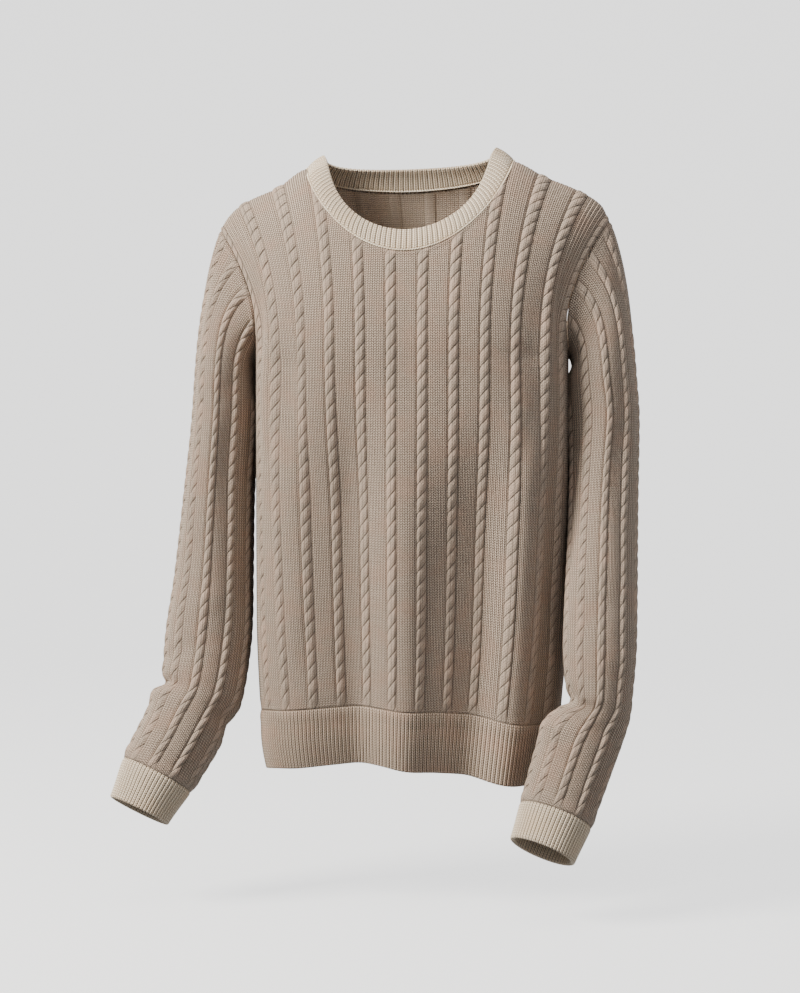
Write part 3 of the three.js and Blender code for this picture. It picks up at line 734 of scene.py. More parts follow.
class Wall:
    """A closed wall of cloth between an outer and an inner skin, zipped together at its rims."""

    def __init__(self, outer: Skin, inner: Skin, knit: CableKnit | RibKnit, tube: bool) -> None:
        """Numbers the points of both skins.

        Args:
            outer: The face that shows.
            inner: The face towards the wearer.
            knit: The knit that both faces have.
            tube: Whether the last column lies on the first.
        """
        self.knit = knit
        self.tube = tube
        self.grids: list[Array] = []
        self.owner: list[Array] = []
        self.points: list[Array] = []
        corners = 0
        vertices = 0
        for skin in (outer, inner):
            height, width = skin.across.shape
            self.grids.append(np.arange(height * width).reshape(height, width) + corners)
            kept = width - 1 if tube else width
            column = np.arange(width) % kept
            self.owner.append((np.arange(height)[:, None] * kept + column + vertices).ravel())
            self.points.append(skin.points[:, :kept].reshape(-1, 3))
            corners += height * width
            vertices += height * kept
        self.across = np.concatenate([outer.across.ravel(), inner.across.ravel()])
        self.along = np.concatenate([outer.along.ravel(), inner.along.ravel()])

    @staticmethod
    def _quads(grid: Array, turned: bool) -> Array:
        """The four corners of each cell of a grid, the other way round where turned."""
        quads = np.stack([grid[:-1, :-1], grid[:-1, 1:], grid[1:, 1:], grid[1:, :-1]], axis=-1)
        quads = quads.reshape(-1, 4)
        return quads[:, ::-1] if turned else quads

    @staticmethod
    def _zip(outer: Array, inner: Array) -> list[tuple[int, int, int]]:
        """Triangles between two edges that run side by side, with their own spacings."""
        faces = []
        i = k = 0
        while i + 1 < len(outer) or k + 1 < len(inner):
            next_outer = (i + 1) / (len(outer) - 1) if i + 1 < len(outer) else 2.0
            next_inner = (k + 1) / (len(inner) - 1) if k + 1 < len(inner) else 2.0
            if next_outer <= next_inner:
                faces.append((outer[i + 1], outer[i], inner[k]))
                i += 1
            else:
                faces.append((inner[k], inner[k + 1], outer[i]))
                k += 1
        return faces

    def piece(self, name: str) -> bpy.types.Object:
        """Makes the mesh, with both maps on it.

        Args:
            name: Name of the piece.

        Returns:
            The new object, at the origin. Material 0 is its outer face, 1 its inner face.
        """
        outer, inner = self.grids
        rims = self._zip(outer[0], inner[0]) + self._zip(outer[-1, ::-1], inner[-1, ::-1])
        if not self.tube:
            rims += self._zip(outer[:, -1], inner[:, -1]) + self._zip(outer[::-1, 0], inner[::-1, 0])
        kinds = [self._quads(outer, False), self._quads(inner, True), np.array(rims)]
        owner = np.concatenate(self.owner)
        points = np.concatenate(self.points)
        if self._volume(points, [owner[kind] for kind in kinds]) < 0:
            kinds = [kind[:, ::-1] for kind in kinds]
        maps = [self.knit.maps(self.across[kind], self.along[kind]) for kind in kinds]
        sizes = np.concatenate([np.full(len(kind), kind.shape[1]) for kind in kinds])
        mesh = bpy.data.meshes.new(name)
        mesh.vertices.add(len(points))
        mesh.vertices.foreach_set("co", (points * MM).astype(np.float32).ravel())
        corners = np.concatenate([owner[kind].ravel() for kind in kinds])
        mesh.loops.add(len(corners))
        mesh.loops.foreach_set("vertex_index", corners.astype(np.int32))
        mesh.polygons.add(len(sizes))
        starts = np.concatenate([[0], np.cumsum(sizes)[:-1]])
        mesh.polygons.foreach_set("loop_start", starts.astype(np.int32))
        mesh.polygons.foreach_set("use_smooth", np.ones(len(sizes), bool))
        insides = np.concatenate([np.full(len(kind), n == 1) for n, kind in enumerate(kinds)])
        mesh.polygons.foreach_set("material_index", insides.astype(np.int32))
        for number, title in enumerate(("Stitches", "Rope")):
            layer = mesh.uv_layers.new(name=title)
            flat = np.concatenate([pair[number].reshape(-1, 2) for pair in maps])
            layer.data.foreach_set("uv", flat.astype(np.float32).ravel())
        mesh.update(calc_edges=True)
        mesh.validate()
        made = bpy.data.objects.new(name, mesh)
        bpy.context.scene.collection.objects.link(made)
        return made

    @staticmethod
    def _volume(points: Array, kinds: list[Array]) -> float:
        """Six times the volume inside the faces, minus where they point inwards."""
        total = 0.0
        for kind in kinds:
            for turn in range(1, kind.shape[1] - 1):
                a, b, c = (points[kind[:, n]] for n in (0, turn, turn + 1))
                total += float(np.sum(a * np.cross(b, c)))
        return total


def placed(piece: bpy.types.Object, nodes: list[str]) -> bpy.types.Object:
    """Puts a piece on the part's one body, in place of its plain solids."""
    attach(piece, BODY)
    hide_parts(*nodes)
    return piece


@dataclass
class Panel:
    """The front or the back: cabled cloth from the hem rib up to the neck and shoulders.

    Attributes:
        form: The body that the panel lies on.
        face: Which face it is.
        cables: Cables across the panel at the underarm.
        row: Distance between mesh rows below the underarm.
        underarm_rows: Mesh rows from the underarm to the straight of the armhole.
        yoke_rows: Mesh rows from there to the top.
        seam_ridge: How far the seam allowance stands out beside a seam.
        seam_dip: How far the seam itself sinks in.
        inside_short: How far the inner face stays below the seams at the top.
    """

    form: BodyForm
    face: Face
    cables: int = 12
    row: float = 2.15
    underarm_rows: int = 23
    yoke_rows: int = 80
    seam_ridge: float = 0.8
    seam_dip: float = 0.35
    inside_short: float = 1.0

    CLEAR_OF_ENDS = 0.45
    RIDGE_FADE = 25.0

    @property
    def knit(self) -> CableKnit:
        """The panel's knit, with its cables counted from the wearer's right."""
        return CableKnit(last=self.cables - 1, hand=-self.face.side)

    def across(self, s: Array) -> Array:
        """Cells from the first cable's middle to a place across the flat panel."""
        return s / self.knit.pitch + (self.cables - 1) / 2

    def _columns(self) -> Array:
        """Places of the mesh columns across the flat panel."""
        knit = self.knit
        cells = np.arange(-2, self.cables + 2)[:, None] + knit.cell_places()[None, :]
        s = (cells.ravel() - (self.cables - 1) / 2) * knit.pitch
        ends = np.array([-PANEL_HALF, -NECK_S, NECK_S, PANEL_HALF])
        clear = np.abs(s[:, None] - ends[None, :]).min(axis=1) > self.CLEAR_OF_ENDS
        return np.sort(np.concatenate([s[clear & (np.abs(s) < PANEL_HALF)], ends]))

    def _row_heights(self, s: Array) -> Array:
        """Height of every mesh row over places across, from the hem rib up."""
        hem = HEM_LINES.read(s)["top"]
        low_rows = round((UNDERARM_Z - float(HEM_LINES.read(np.array(0.0))["top"])) / self.row)
        low = np.arange(low_rows)[:, None] / low_rows
        mid = np.arange(self.underarm_rows)[:, None] / self.underarm_rows
        high = np.linspace(0.0, 1.0, self.yoke_rows + 1)[:, None]
        if s.ndim == 1:
            s = np.broadcast_to(s, (len(low) + len(mid) + len(high), len(s)))
            hem = np.broadcast_to(hem, s.shape)
        first, second = len(low), len(low) + len(mid)
        top = self.form.top(self.face, s[second:])
        return np.concatenate(
            [
                mixed(hem[:first], UNDERARM_Z, low),
                mixed(UNDERARM_Z, YOKE_Z, mid) + 0 * s[first:second],
                mixed(YOKE_Z, top, high),
            ]
        )

    def _crowded(self, s: Array, z: Array) -> Array:
        """Places across once the outer columns have moved in beside the armhole."""
        outer = (self.cables - 3) / 2 * self.knit.pitch + self.knit.rope.half
        beyond = np.abs(s) - outer
        edge = PANEL_EDGE.read(z)["s"]
        held = outer + beyond * (edge - outer) / (PANEL_HALF - outer)
        return np.where(beyond > 0, np.sign(s) * held, s)

    def build(self) -> bpy.types.Object:
        """Knits the panel.

        Returns:
            The panel, in place of its plain solid.
        """
        columns = self._columns()
        rough = self._row_heights(columns)
        s = self._crowded(np.broadcast_to(columns, rough.shape), rough)
        z = self._row_heights(s)
        here, out = self.form.frame_at(self.face, s, z)
        folds = self.form.folds(self.face, s, z)
        plain = here + out * folds[..., None]
        length = run_length(plain)
        start = round((UNDERARM_Z - float(HEM_LINES.read(np.array(0.0))["top"])) / self.row)
        along = length - length[start]
        side = np.maximum(PANEL_EDGE.read(z)["s"] - np.abs(s), 0.0)
        seam = np.minimum(side, length[-1] - length)
        lift = self.knit.relief(self.across(s), along)
        lift = lift * soft_step(np.minimum(seam, length), 0.0, self.knit.rope.fade)
        raised = soft_step(z, UNDERARM_Z, UNDERARM_Z + self.RIDGE_FADE)
        lift = lift + raised * allowance_ridge(seam, self.seam_ridge)
        lift = lift - self.seam_dip * bell(seam, SEAM_WIDTH)
        outer = Skin(here + out * (folds + lift)[..., None], self.across(s), along)
        low = np.minimum(z, self.form.top(self.face, s) - self.inside_short)
        inner_points = self.form.point(self.face, s, low, np.full(s.shape, -WALL))
        inner = Skin(inner_points, self.across(s), along).every(4, 3)
        made = Wall(outer, inner, self.knit, tube=False).piece(f"{self.face.value}_panel")
        return placed(made, [self.face.value])


def allowance_ridge(distance: Array, height: float) -> Array:
    """Height of the soft ridge that a seam allowance pushes up beside its seam."""
    return height * bell(distance - RIDGE_AWAY, RIDGE_WIDTH)


def rounded_edge(part: Array, length: float, thickness: float) -> Array:
    """How far a face falls back towards the middle of the wall as it nears its open edge.

    Args:
        part: Place along the wall, 1 at the open edge.
        length: Length of the wall from 0 to 1.
        thickness: Thickness of the wall.

    Returns:
        The distance, up to half the thickness at the edge itself.
    """
    near = np.clip(1.0 - (1.0 - part) * length / (thickness * 0.6), 0.0, 1.0)
    return thickness / 2 * (1.0 - np.sqrt(1.0 - near**2))


def band_parts(rows: int, edge: tuple[float, ...] = (0.965, 0.985, 0.996)) -> Array:
    """Places of the mesh rows of a ribbed band, closer together at its open edge."""
    return np.unique(np.concatenate([np.linspace(0.0, 0.94, rows), edge, [1.0]]))


@dataclass
class HemBand:
    """The ribbed hem of one face.

    Attributes:
        form: The body that the hem goes on from.
        face: Which face it is.
        ribs: Ribs across the face.
        knit: The rib.
        rows: Mesh rows.
        pull: How far the rib draws in below the body.
        bow: How far it swells in its middle.
        tuck: How far its top goes up behind the body's cloth.
        tuck_depth: How far its top sinks in there.
    """

    form: BodyForm
    face: Face
    ribs: int = 102
    knit: RibKnit = field(default_factory=RibKnit)
    rows: int = 22
    pull: float = 2.0
    bow: float = 2.5
    tuck: float = 1.2
    tuck_depth: float = 1.1

    PULL_SHARE = 0.3
    CUT_ALLOWANCE = 6.0
    SIDE_DIP = 0.6

    def build(self) -> bpy.types.Object:
        """Knits the hem.

        Returns:
            The hem, in place of its plain solid.
        """
        columns = self.knit.columns(self.ribs)
        ribs, part = np.meshgrid(columns, band_parts(self.rows))
        s = (ribs / self.ribs * 2 - 1) * PANEL_HALF
        line = HEM_LINES.read(s)
        z = mixed(line["top"] + self.tuck, line["bottom"], part)
        lift = -self.pull * soft_step(part, 0.0, self.PULL_SHARE) + self.bow * np.sin(math.pi * part)
        length = line["top"] - line["bottom"]
        turned = rounded_edge(part, length, WALL)
        relief = self.knit.relief(ribs) * soft_step(part, -0.02, 0.16) * (1 - turned / WALL)
        side = np.minimum(PANEL_HALF - np.abs(s), 3.0)
        sunk = self.SIDE_DIP * bell(side, 1.2) + self.tuck_depth * bell(part, 0.025)
        points = self.form.point(self.face, s, z, lift + relief - turned - sunk)
        along = -part * length
        outer = Skin(points, ribs, along)
        plain = Skin(self.form.point(self.face, s, z, lift), ribs, along)
        inside = Skin(self.form.point(self.face, s, z, lift + turned - WALL), ribs, along)
        made = Wall(outer, inside.every(3, 3), self.knit, tube=False).piece(
            f"{self.face.value}_hem_rib"
        )
        return placed(made, [f"hem_{self.face.value}"])


@dataclass
class Sleeve:
    """A sleeve: a cap set into the armhole and a cabled tube down to the cuff.

    Attributes:
        form: The body that it is sewn to.
        side: The wearer's side.
        cables: Cables round the sleeve.
        half_round: Half the way round it, along the cloth.
        cap_rows: Mesh rows of the cap.
        row: Distance between the mesh rows below it.
        blouse: How far the cloth swells over the cuff.
        seam_ridge: How far the seam allowance stands out at the armhole.
        seam_dip: How far the armhole seam itself sinks in.
    """

    form: BodyForm
    side: Side
    cables: int = 10
    half_round: float = 142.0
    cap_rows: int = 76
    row: float = 2.0
    blouse: float = 1.6
    seam_ridge: float = 0.8
    seam_dip: float = 0.8

    # A short step along the surface, and the height over which the sleeve's axis is smoothed
    SMALL = 0.01
    BEND = 16.0
    BLOUSE_UP = 5.0
    BLOUSE_WIDTH = 6.0
    CAP_ARRIVES_FROM = 4.0
    CUT_ALLOWANCE = (10.0, 4.0)

    def __post_init__(self) -> None:
        """Measures the armhole on both faces of the body."""
        self.sign = self.side.sign
        self.rings = ARM_RINGS[self.side]
        self.cuff_top = CUFF_TOP[self.side]
        self.armhole = {face: self._armhole_edge(face) for face in Face}
        hand = self.sign
        self.knit = CableKnit(pitch=2 * self.half_round / self.cables, wales=5, hand=hand)

    def _armhole_edge(self, face: Face, points: int = 220) -> Array:
        """Points down the armhole's edge, from the shoulder to the underarm."""
        top = float(self.form.top(face, np.array(self.sign * SHOULDER_S)))
        z = np.linspace(top, UNDERARM_Z, points)
        s = self.sign * PANEL_EDGE.read(z)["s"]
        return self.form.point(face, s, z, np.zeros(points))

    def ring_point(self, w: Array, z: Array) -> Array:
        """Points round a ring of the sleeve.

        Args:
            w: Place round it, from -1 to 1, with 0 on the outer line and minus in front.
            z: Height of the ring.

        Returns:
            Points, with X, Y and Z in the last axis.
        """
        bend = self.BEND
        at, above, below = (self.rings.read(z + step) for step in (0.0, bend, -bend))
        rise = np.full(np.shape(at["x"]), 2.0 * bend)
        axis = unit(np.stack([above["x"] - below["x"], above["y"] - below["y"], rise], -1))
        out = np.array([self.sign, 0.0, 0.0]) - axis * (self.sign * axis[..., :1])
        out = unit(out)
        back = np.cross(axis, out) * self.sign
        angle = math.pi * w
        middle = np.stack([at["x"], at["y"], z + 0 * at["x"]], -1)
        return (
            middle
            + out * (at["across"] * np.cos(angle))[..., None]
            + back * (at["deep"] * np.sin(angle))[..., None]
        )

    def cap_point(self, w: Array, part: Array) -> Array:
        """Points of the cap, from the armhole at part 0 to the first ring at part 1."""
        front = along_run(self.armhole[Face.FRONT], np.abs(w))
        back = along_run(self.armhole[Face.BACK], np.abs(w))
        start = np.where((w < 0)[..., None], front, back)
        end = self.ring_point(w, np.full(w.shape, CAP_BELOW))
        reach = np.linalg.norm(end - start, axis=-1, keepdims=True)
        outwards = mixed(CAP_OUT[0], CAP_OUT[1], np.sin(math.pi * w) ** 2)
        leave = unit(np.stack([self.sign * outwards, 0 * outwards, outwards - CAP_FALL], -1))
        below = np.full(w.shape, CAP_BELOW - self.CAP_ARRIVES_FROM)
        arrive = unit(self.ring_point(w, below) - end)
        u = part[..., None]
        return (
            (start + leave * JOIN_GAP) * (1 + 2 * u) * (1 - u) ** 2
            + leave * reach * u * (1 - u) ** 2
            + end * u * u * (3 - 2 * u)
            + arrive * reach * u * u * (u - 1)
        )

    def height(self, down: Array) -> Array:
        """Height of a place down the sleeve, held at the first ring through the cap."""
        return CAP_BELOW - np.maximum(down - CAP_SPAN, 0.0) * CABLE_ROW

    def base(self, w: Array, down: Array) -> Array:
        """Points of the sleeve without creases or relief.

        Args:
            w: Place round the sleeve, from -1 to 1.
            down: Place down it, 0 at the armhole and CAP_SPAN at the first ring.

        Returns:
            Points, with X, Y and Z in the last axis.
        """
        around = (w + 1) % 2 - 1
        around = np.where((w >= 1) & (np.abs(w - 1) < 1e-9), 1.0, around)
        cap = self.cap_point(around, np.clip(down / CAP_SPAN, 0.0, 1.0))
        tube = self.ring_point(around, self.height(down))
        return np.where((down <= CAP_SPAN)[..., None], cap, tube)

    def creases(self, w: Array, down: Array) -> Array:
        """Depth of the creases, fading up through the cap."""
        z = self.height(down)
        depth = np.zeros(w.shape)
        for height, place, deep, along, around, drop in ARM_CREASES[self.side]:
            apart = (w - place + 3) % 2 - 1
            depth += deep * bell(z - height + drop * apart, along) * bell(apart, around)
        return depth * soft_step(down, CAP_SPAN * 0.4, CAP_SPAN)

    def point(self, w: Array, down: Array, lift: Array) -> Array:
        """Points of the sleeve moved out of the cloth by a lift, over its creases."""
        small = self.SMALL
        across = self.base(w + small, down) - self.base(w - small, down)
        below = self.base(w, down + small * 4)
        along = below - self.base(w, np.maximum(down - small * 4, 0.0))
        out = unit(np.cross(across, along)) * -self.sign
        return self.base(w, down) + out * (lift + self.creases(w, down))[..., None]

    def build(self) -> bpy.types.Object:
        """Knits the sleeve.

        Returns:
            The sleeve, in place of its plain solid.
        """
        places = self.knit.cell_places()
        cells = (np.arange(-1, self.cables)[:, None] + places[None, :]).ravel()
        cells = cells[(cells > -0.4999) & (cells < self.cables - 0.5001)]
        cells = np.concatenate([[-0.5], cells, [self.cables - 0.5]])
        fall = CAP_BELOW - self.cuff_top
        low_rows = round(fall / self.row)
        down = np.concatenate(
            [
                np.linspace(0.0, CAP_SPAN, self.cap_rows + 1),
                CAP_SPAN + np.arange(1, low_rows + 1) / low_rows * fall / CABLE_ROW,
            ]
        )
        across, down = np.meshgrid(cells, down)
        w = (across + 0.5) / self.cables * 2 - 1
        plain = self.point(w, down, np.zeros(w.shape))
        length = run_length(plain)
        along = length[self.cap_rows] - length
        z = self.height(down)
        inner = soft_step(-z, -INNER_CABLES["start"], INNER_CABLES["fade"] - INNER_CABLES["start"])
        share = np.where(np.abs(w) < INNER_CABLES["beyond"], 1.0, inner)
        ends = np.minimum(length, length[-1] - length)
        fade = soft_step(ends, 0.0, self.knit.rope.fade)
        lift = self.knit.relief(across, along) * fade * share
        lift = lift + allowance_ridge(length, self.seam_ridge)
        lift = lift - self.seam_dip * bell(length, SEAM_WIDTH)
        lift = lift + self.blouse * bell(length[-1] - length - self.BLOUSE_UP, self.BLOUSE_WIDTH)
        outer = Skin(self.point(w, down, lift), across, along)
        lining = Skin(self.point(w, down, np.full(w.shape, -WALL)), across, along)
        name = f"{self.side.value}_sleeve_cloth"
        made = Wall(outer, lining.every(4, 3), self.knit, tube=True).piece(name)
        halves = [f"sleeve_{self.side.value}_{half}" for half in ("upper", "lower")]
        return placed(made, halves)


@dataclass
class Cuff:
    """The ribbed cuff at the end of a sleeve.

    Attributes:
        sleeve: The sleeve that it ends.
        ribs: Ribs round it.
        knit: The rib.
        rows: Mesh rows.
        pull: How far it draws in towards its open edge.
    """

    sleeve: Sleeve
    ribs: int = 56
    knit: RibKnit = field(default_factory=lambda: RibKnit(rise=1.3))
    rows: int = 15
    pull: float = 1.5

    def _ring(self, ribs: Array, part: Array, lift: Array) -> Array:
        """Points round the cuff at a place along it, moved outwards by a lift."""
        w = ribs / self.ribs * 2 - 1
        top, end = self.sleeve.cuff_top - JOIN_GAP, CUFF_END[self.sleeve.side]
        z = mixed(top, end, part)
        at = self.sleeve.rings.read(z)
        centre = np.stack([at["x"], at["y"], z], -1)
        out = self.sleeve.ring_point(w, z) - centre
        reach = np.linalg.norm(out, axis=-1)
        return centre + out * (1 + (lift - self.pull * part) / reach)[..., None]

    def build(self) -> bpy.types.Object:
        """Knits the cuff.

        Returns:
            The cuff, in place of its plain solid.
        """
        ribs, part = np.meshgrid(self.knit.columns(self.ribs), band_parts(self.rows))
        plain = self._ring(ribs, part, np.zeros(ribs.shape))
        length = run_length(plain)
        turned = rounded_edge(part, float(length[-1].mean()), BAND_WALL)
        relief = self.knit.relief(ribs) * soft_step(part, -0.03, 0.08)
        outer = Skin(self._ring(ribs, part, relief * (1 - turned / BAND_WALL) - turned), ribs, -length)
        inside = -BAND_WALL + turned - relief * 0.5 * (1 - turned / BAND_WALL)
        inner = Skin(self._ring(ribs, part, inside), ribs, -length).every(2, 1)
        made = Wall(outer, inner, self.knit, tube=True).piece(f"{self.sleeve.side.value}_cuff_rib")
        return placed(made, [f"cuff_{self.sleeve.side.value}"])


@dataclass
class Neckband:
    """The ribbed band that stands on the neck seam.

    Attributes:
        form: The body whose neck it finishes.
        ribs: Ribs round it.
        knit: The rib.
        rows: Mesh rows.
        rise: How far it rises at the middle and at the sides.
        lean: How far it leans inwards at the middle and at the sides.
        bow: How far its middle swells.
    """

    form: BodyForm
    ribs: int = 116
    knit: RibKnit = field(default_factory=lambda: RibKnit(rise=1.3))
    rows: int = 13
    rise: tuple[float, float] = (21.5, 12.0)
    lean: tuple[float, float] = (11.0, 20.0)
    bow: float = 1.4

    FOOT = 0.04
    BEAD_SIDES = 8
    BEAD_RINGS = 5
    BEAD_LEAN = 0.35
    BEAD_HALF = (0.56, 0.85, 0.75)
    BEAD_CLIMB_SPAN = 24.0

    def seam(self, points: int = 260) -> Array:
        """The neck seam once round: over the front to the wearer's left, and back over the back."""
        s = np.linspace(-NECK_S, NECK_S, points)
        runs = []
        for face in Face:
            top = self.form.top(face, s)
            run = self.form.point(face, s, top, np.zeros(points))
            runs.append(run if face is Face.FRONT else run[::-1])
        loop = np.concatenate(runs)
        return np.concatenate([loop, loop[:1]])

    def point(self, ribs: Array, part: Array, lift: Array) -> Array:
        """Points of the band.

        Args:
            ribs: Ribs passed round the seam.
            part: Place up the band, 0 at the seam.
            lift: Distance out of the band.

        Returns:
            Points, with X, Y and Z in the last axis.
        """
        foot = along_run(self.seam(), ribs / self.ribs)
        across, forward = foot[..., 0], NECK_AXIS_Y - foot[..., 1]
        inwards = np.stack([-across / NECK_HALF**2, forward / NECK_REACH_Y**2, 0 * across], -1)
        inwards = unit(inwards)
        sideways = np.minimum(np.abs(across) / NECK_HALF, 1.0) ** 2
        rise = mixed(self.rise[0], self.rise[1], sideways)[..., None]
        lean = mixed(self.lean[0], self.lean[1], sideways)[..., None]
        upright = np.array([0.0, 0.0, 1.0])
        width = np.hypot(rise, lean)[..., 0]
        up = unit(inwards * lean + upright * rise)
        outwards = unit(-inwards * rise + upright * lean)
        climbed = JOIN_GAP + (width - JOIN_GAP) * part
        swell = lift + self.bow * np.sin(math.pi * part)
        return foot + up * climbed[..., None] + outwards * swell[..., None]

    def build(self) -> bpy.types.Object:
        """Knits the band.

        Returns:
            The band, in place of its plain solid.
        """
        ribs, part = np.meshgrid(self.knit.columns(self.ribs), band_parts(self.rows))
        plain = self.point(ribs, part, np.zeros(ribs.shape))
        length = run_length(plain)
        turned = rounded_edge(part, float(length[-1].mean()), BAND_WALL)
        relief = self.knit.relief(ribs) * soft_step(part, -0.02, 0.1) * (1 - turned / BAND_WALL)
        outer = Skin(self.point(ribs, part, relief - turned), ribs, length)
        foot = np.maximum(part, self.FOOT)
        lining = self.point(ribs, foot, turned - BAND_WALL - relief * 0.5)
        inner = Skin(lining, ribs, length).every(2, 1)
        made = Wall(outer, inner, self.knit, tube=True).piece("neckband_rib")
        return placed(made, ["collar"])

    def linking(self, name: str, lift: float, climb: float, stitch: float = 2.7) -> bpy.types.Object:
        """The chain of linking stitches that joins the band to the body.

        Args:
            name: Name of the piece.
            lift: Distance of the chain out of the band.
            climb: Distance of the chain up from the seam.
            stitch: Length of one stitch.

        Returns:
            The chain, one small pillow for each stitch.
        """
        round_it = float(run_length(self.seam())[-1])
        count = round(round_it / stitch)
        place = (np.arange(count) + 0.5) / count * self.ribs
        part = np.full(count, climb / self.BEAD_CLIMB_SPAN)
        middle = self.point(place, part, np.full(count, lift))
        nudge = self.ribs / count / 2
        flat = part * 0
        forward = unit(self.point(place + nudge, part, flat) - self.point(place - nudge, part, flat))
        above = unit(self.point(place, part + 0.05, flat) - self.point(place, part, flat))
        out = np.cross(forward, above)
        points, faces = [], []
        sides, rings = self.BEAD_SIDES, self.BEAD_RINGS
        half_length, half_height, half_depth = self.BEAD_HALF
        for number in range(count):
            lean = forward[number] + above[number] * self.BEAD_LEAN
            for ring in range(rings):
                turn = math.pi * (ring + 0.5) / rings
                for side in range(sides):
                    angle = 2 * math.pi * side / sides
                    radius = math.sin(turn)
                    points.append(
                        middle[number]
                        - lean * (math.cos(turn) * stitch * half_length)
                        + above[number] * (radius * math.sin(angle) * half_height)
                        + out[number] * (radius * math.cos(angle) * half_depth)
                    )
            first = number * rings * sides
            for ring in range(rings - 1):
                for side in range(sides):
                    low = first + ring * sides
                    beside = (side + 1) % sides
                    faces.append((low + side, low + beside, low + sides + beside, low + sides + side))
            faces.append(tuple(first + side for side in reversed(range(sides))))
            faces.append(tuple(first + (rings - 1) * sides + side for side in range(sides)))
        mesh = bpy.data.meshes.new(name)
        mesh.from_pydata([tuple(point * MM) for point in points], [], faces)
        mesh.polygons.foreach_set("use_smooth", np.ones(len(mesh.polygons), bool))
        # Each pillow shows the crest of a stitch, with no stitches drawn on it
        crest = np.tile(np.array([0.25, 0.975], np.float32), len(mesh.loops))
        mesh.uv_layers.new(name="Stitches").data.foreach_set("uv", crest)
        made = bpy.data.objects.new(name, mesh)
        bpy.context.scene.collection.objects.link(made)
        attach(made, BODY)
        return made


def linear(colour: str) -> tuple[float, float, float, float]:
    """Turns an sRGB colour to the linear values that shaders take.

    Args:
        colour: Six hex digits after a hash.

    Returns:
        Red, green, blue and an alpha of 1.
    """
    parts = [int(colour[n : n + 2], 16) / 255 for n in (1, 3, 5)]
    red, green, blue = [p / 12.92 if p <= 0.04045 else ((p + 0.055) / 1.055) ** 2.4 for p in parts]
    return red, green, blue, 1.0


Builder = Callable[[], bpy.types.Object]
Socket = bpy.types.NodeSocket
Setting = float | str | bool | tuple | list


def add_node(
    tree: bpy.types.NodeTree, kind: str, settings: dict[str | int, Setting], **links: Socket
) -> bpy.types.Node:
    """Adds a node with its settings and links.

    Args:
        tree: The node tree.
        kind: The node's type.
        settings: Values of its properties, by name, and of its inputs, by name or number.
        links: Sources of its inputs. The key is the input's name, or in and its number, with
            spaces written as underscores.

    Returns:
        The new node.
    """
    node = tree.nodes.new(kind)
    for key, value in settings.items():
        if isinstance(key, str) and hasattr(node, key):
            setattr(node, key, value)
    for key, value in settings.items():
        if not isinstance(key, str) or not hasattr(node, key):
            node.inputs[key].default_value = value
    for key, source in links.items():
        number = key.removeprefix("in")
        socket = node.inputs[int(number)] if number.isdigit() else node.inputs[key.replace("_", " ")]
        tree.links.new(source, socket)
    return node


class Stitch(Enum):
    """What a face of the knit shows."""

    CABLED = "cabled jersey"
    RIB = "one by one rib"
    PURL = "purl side"


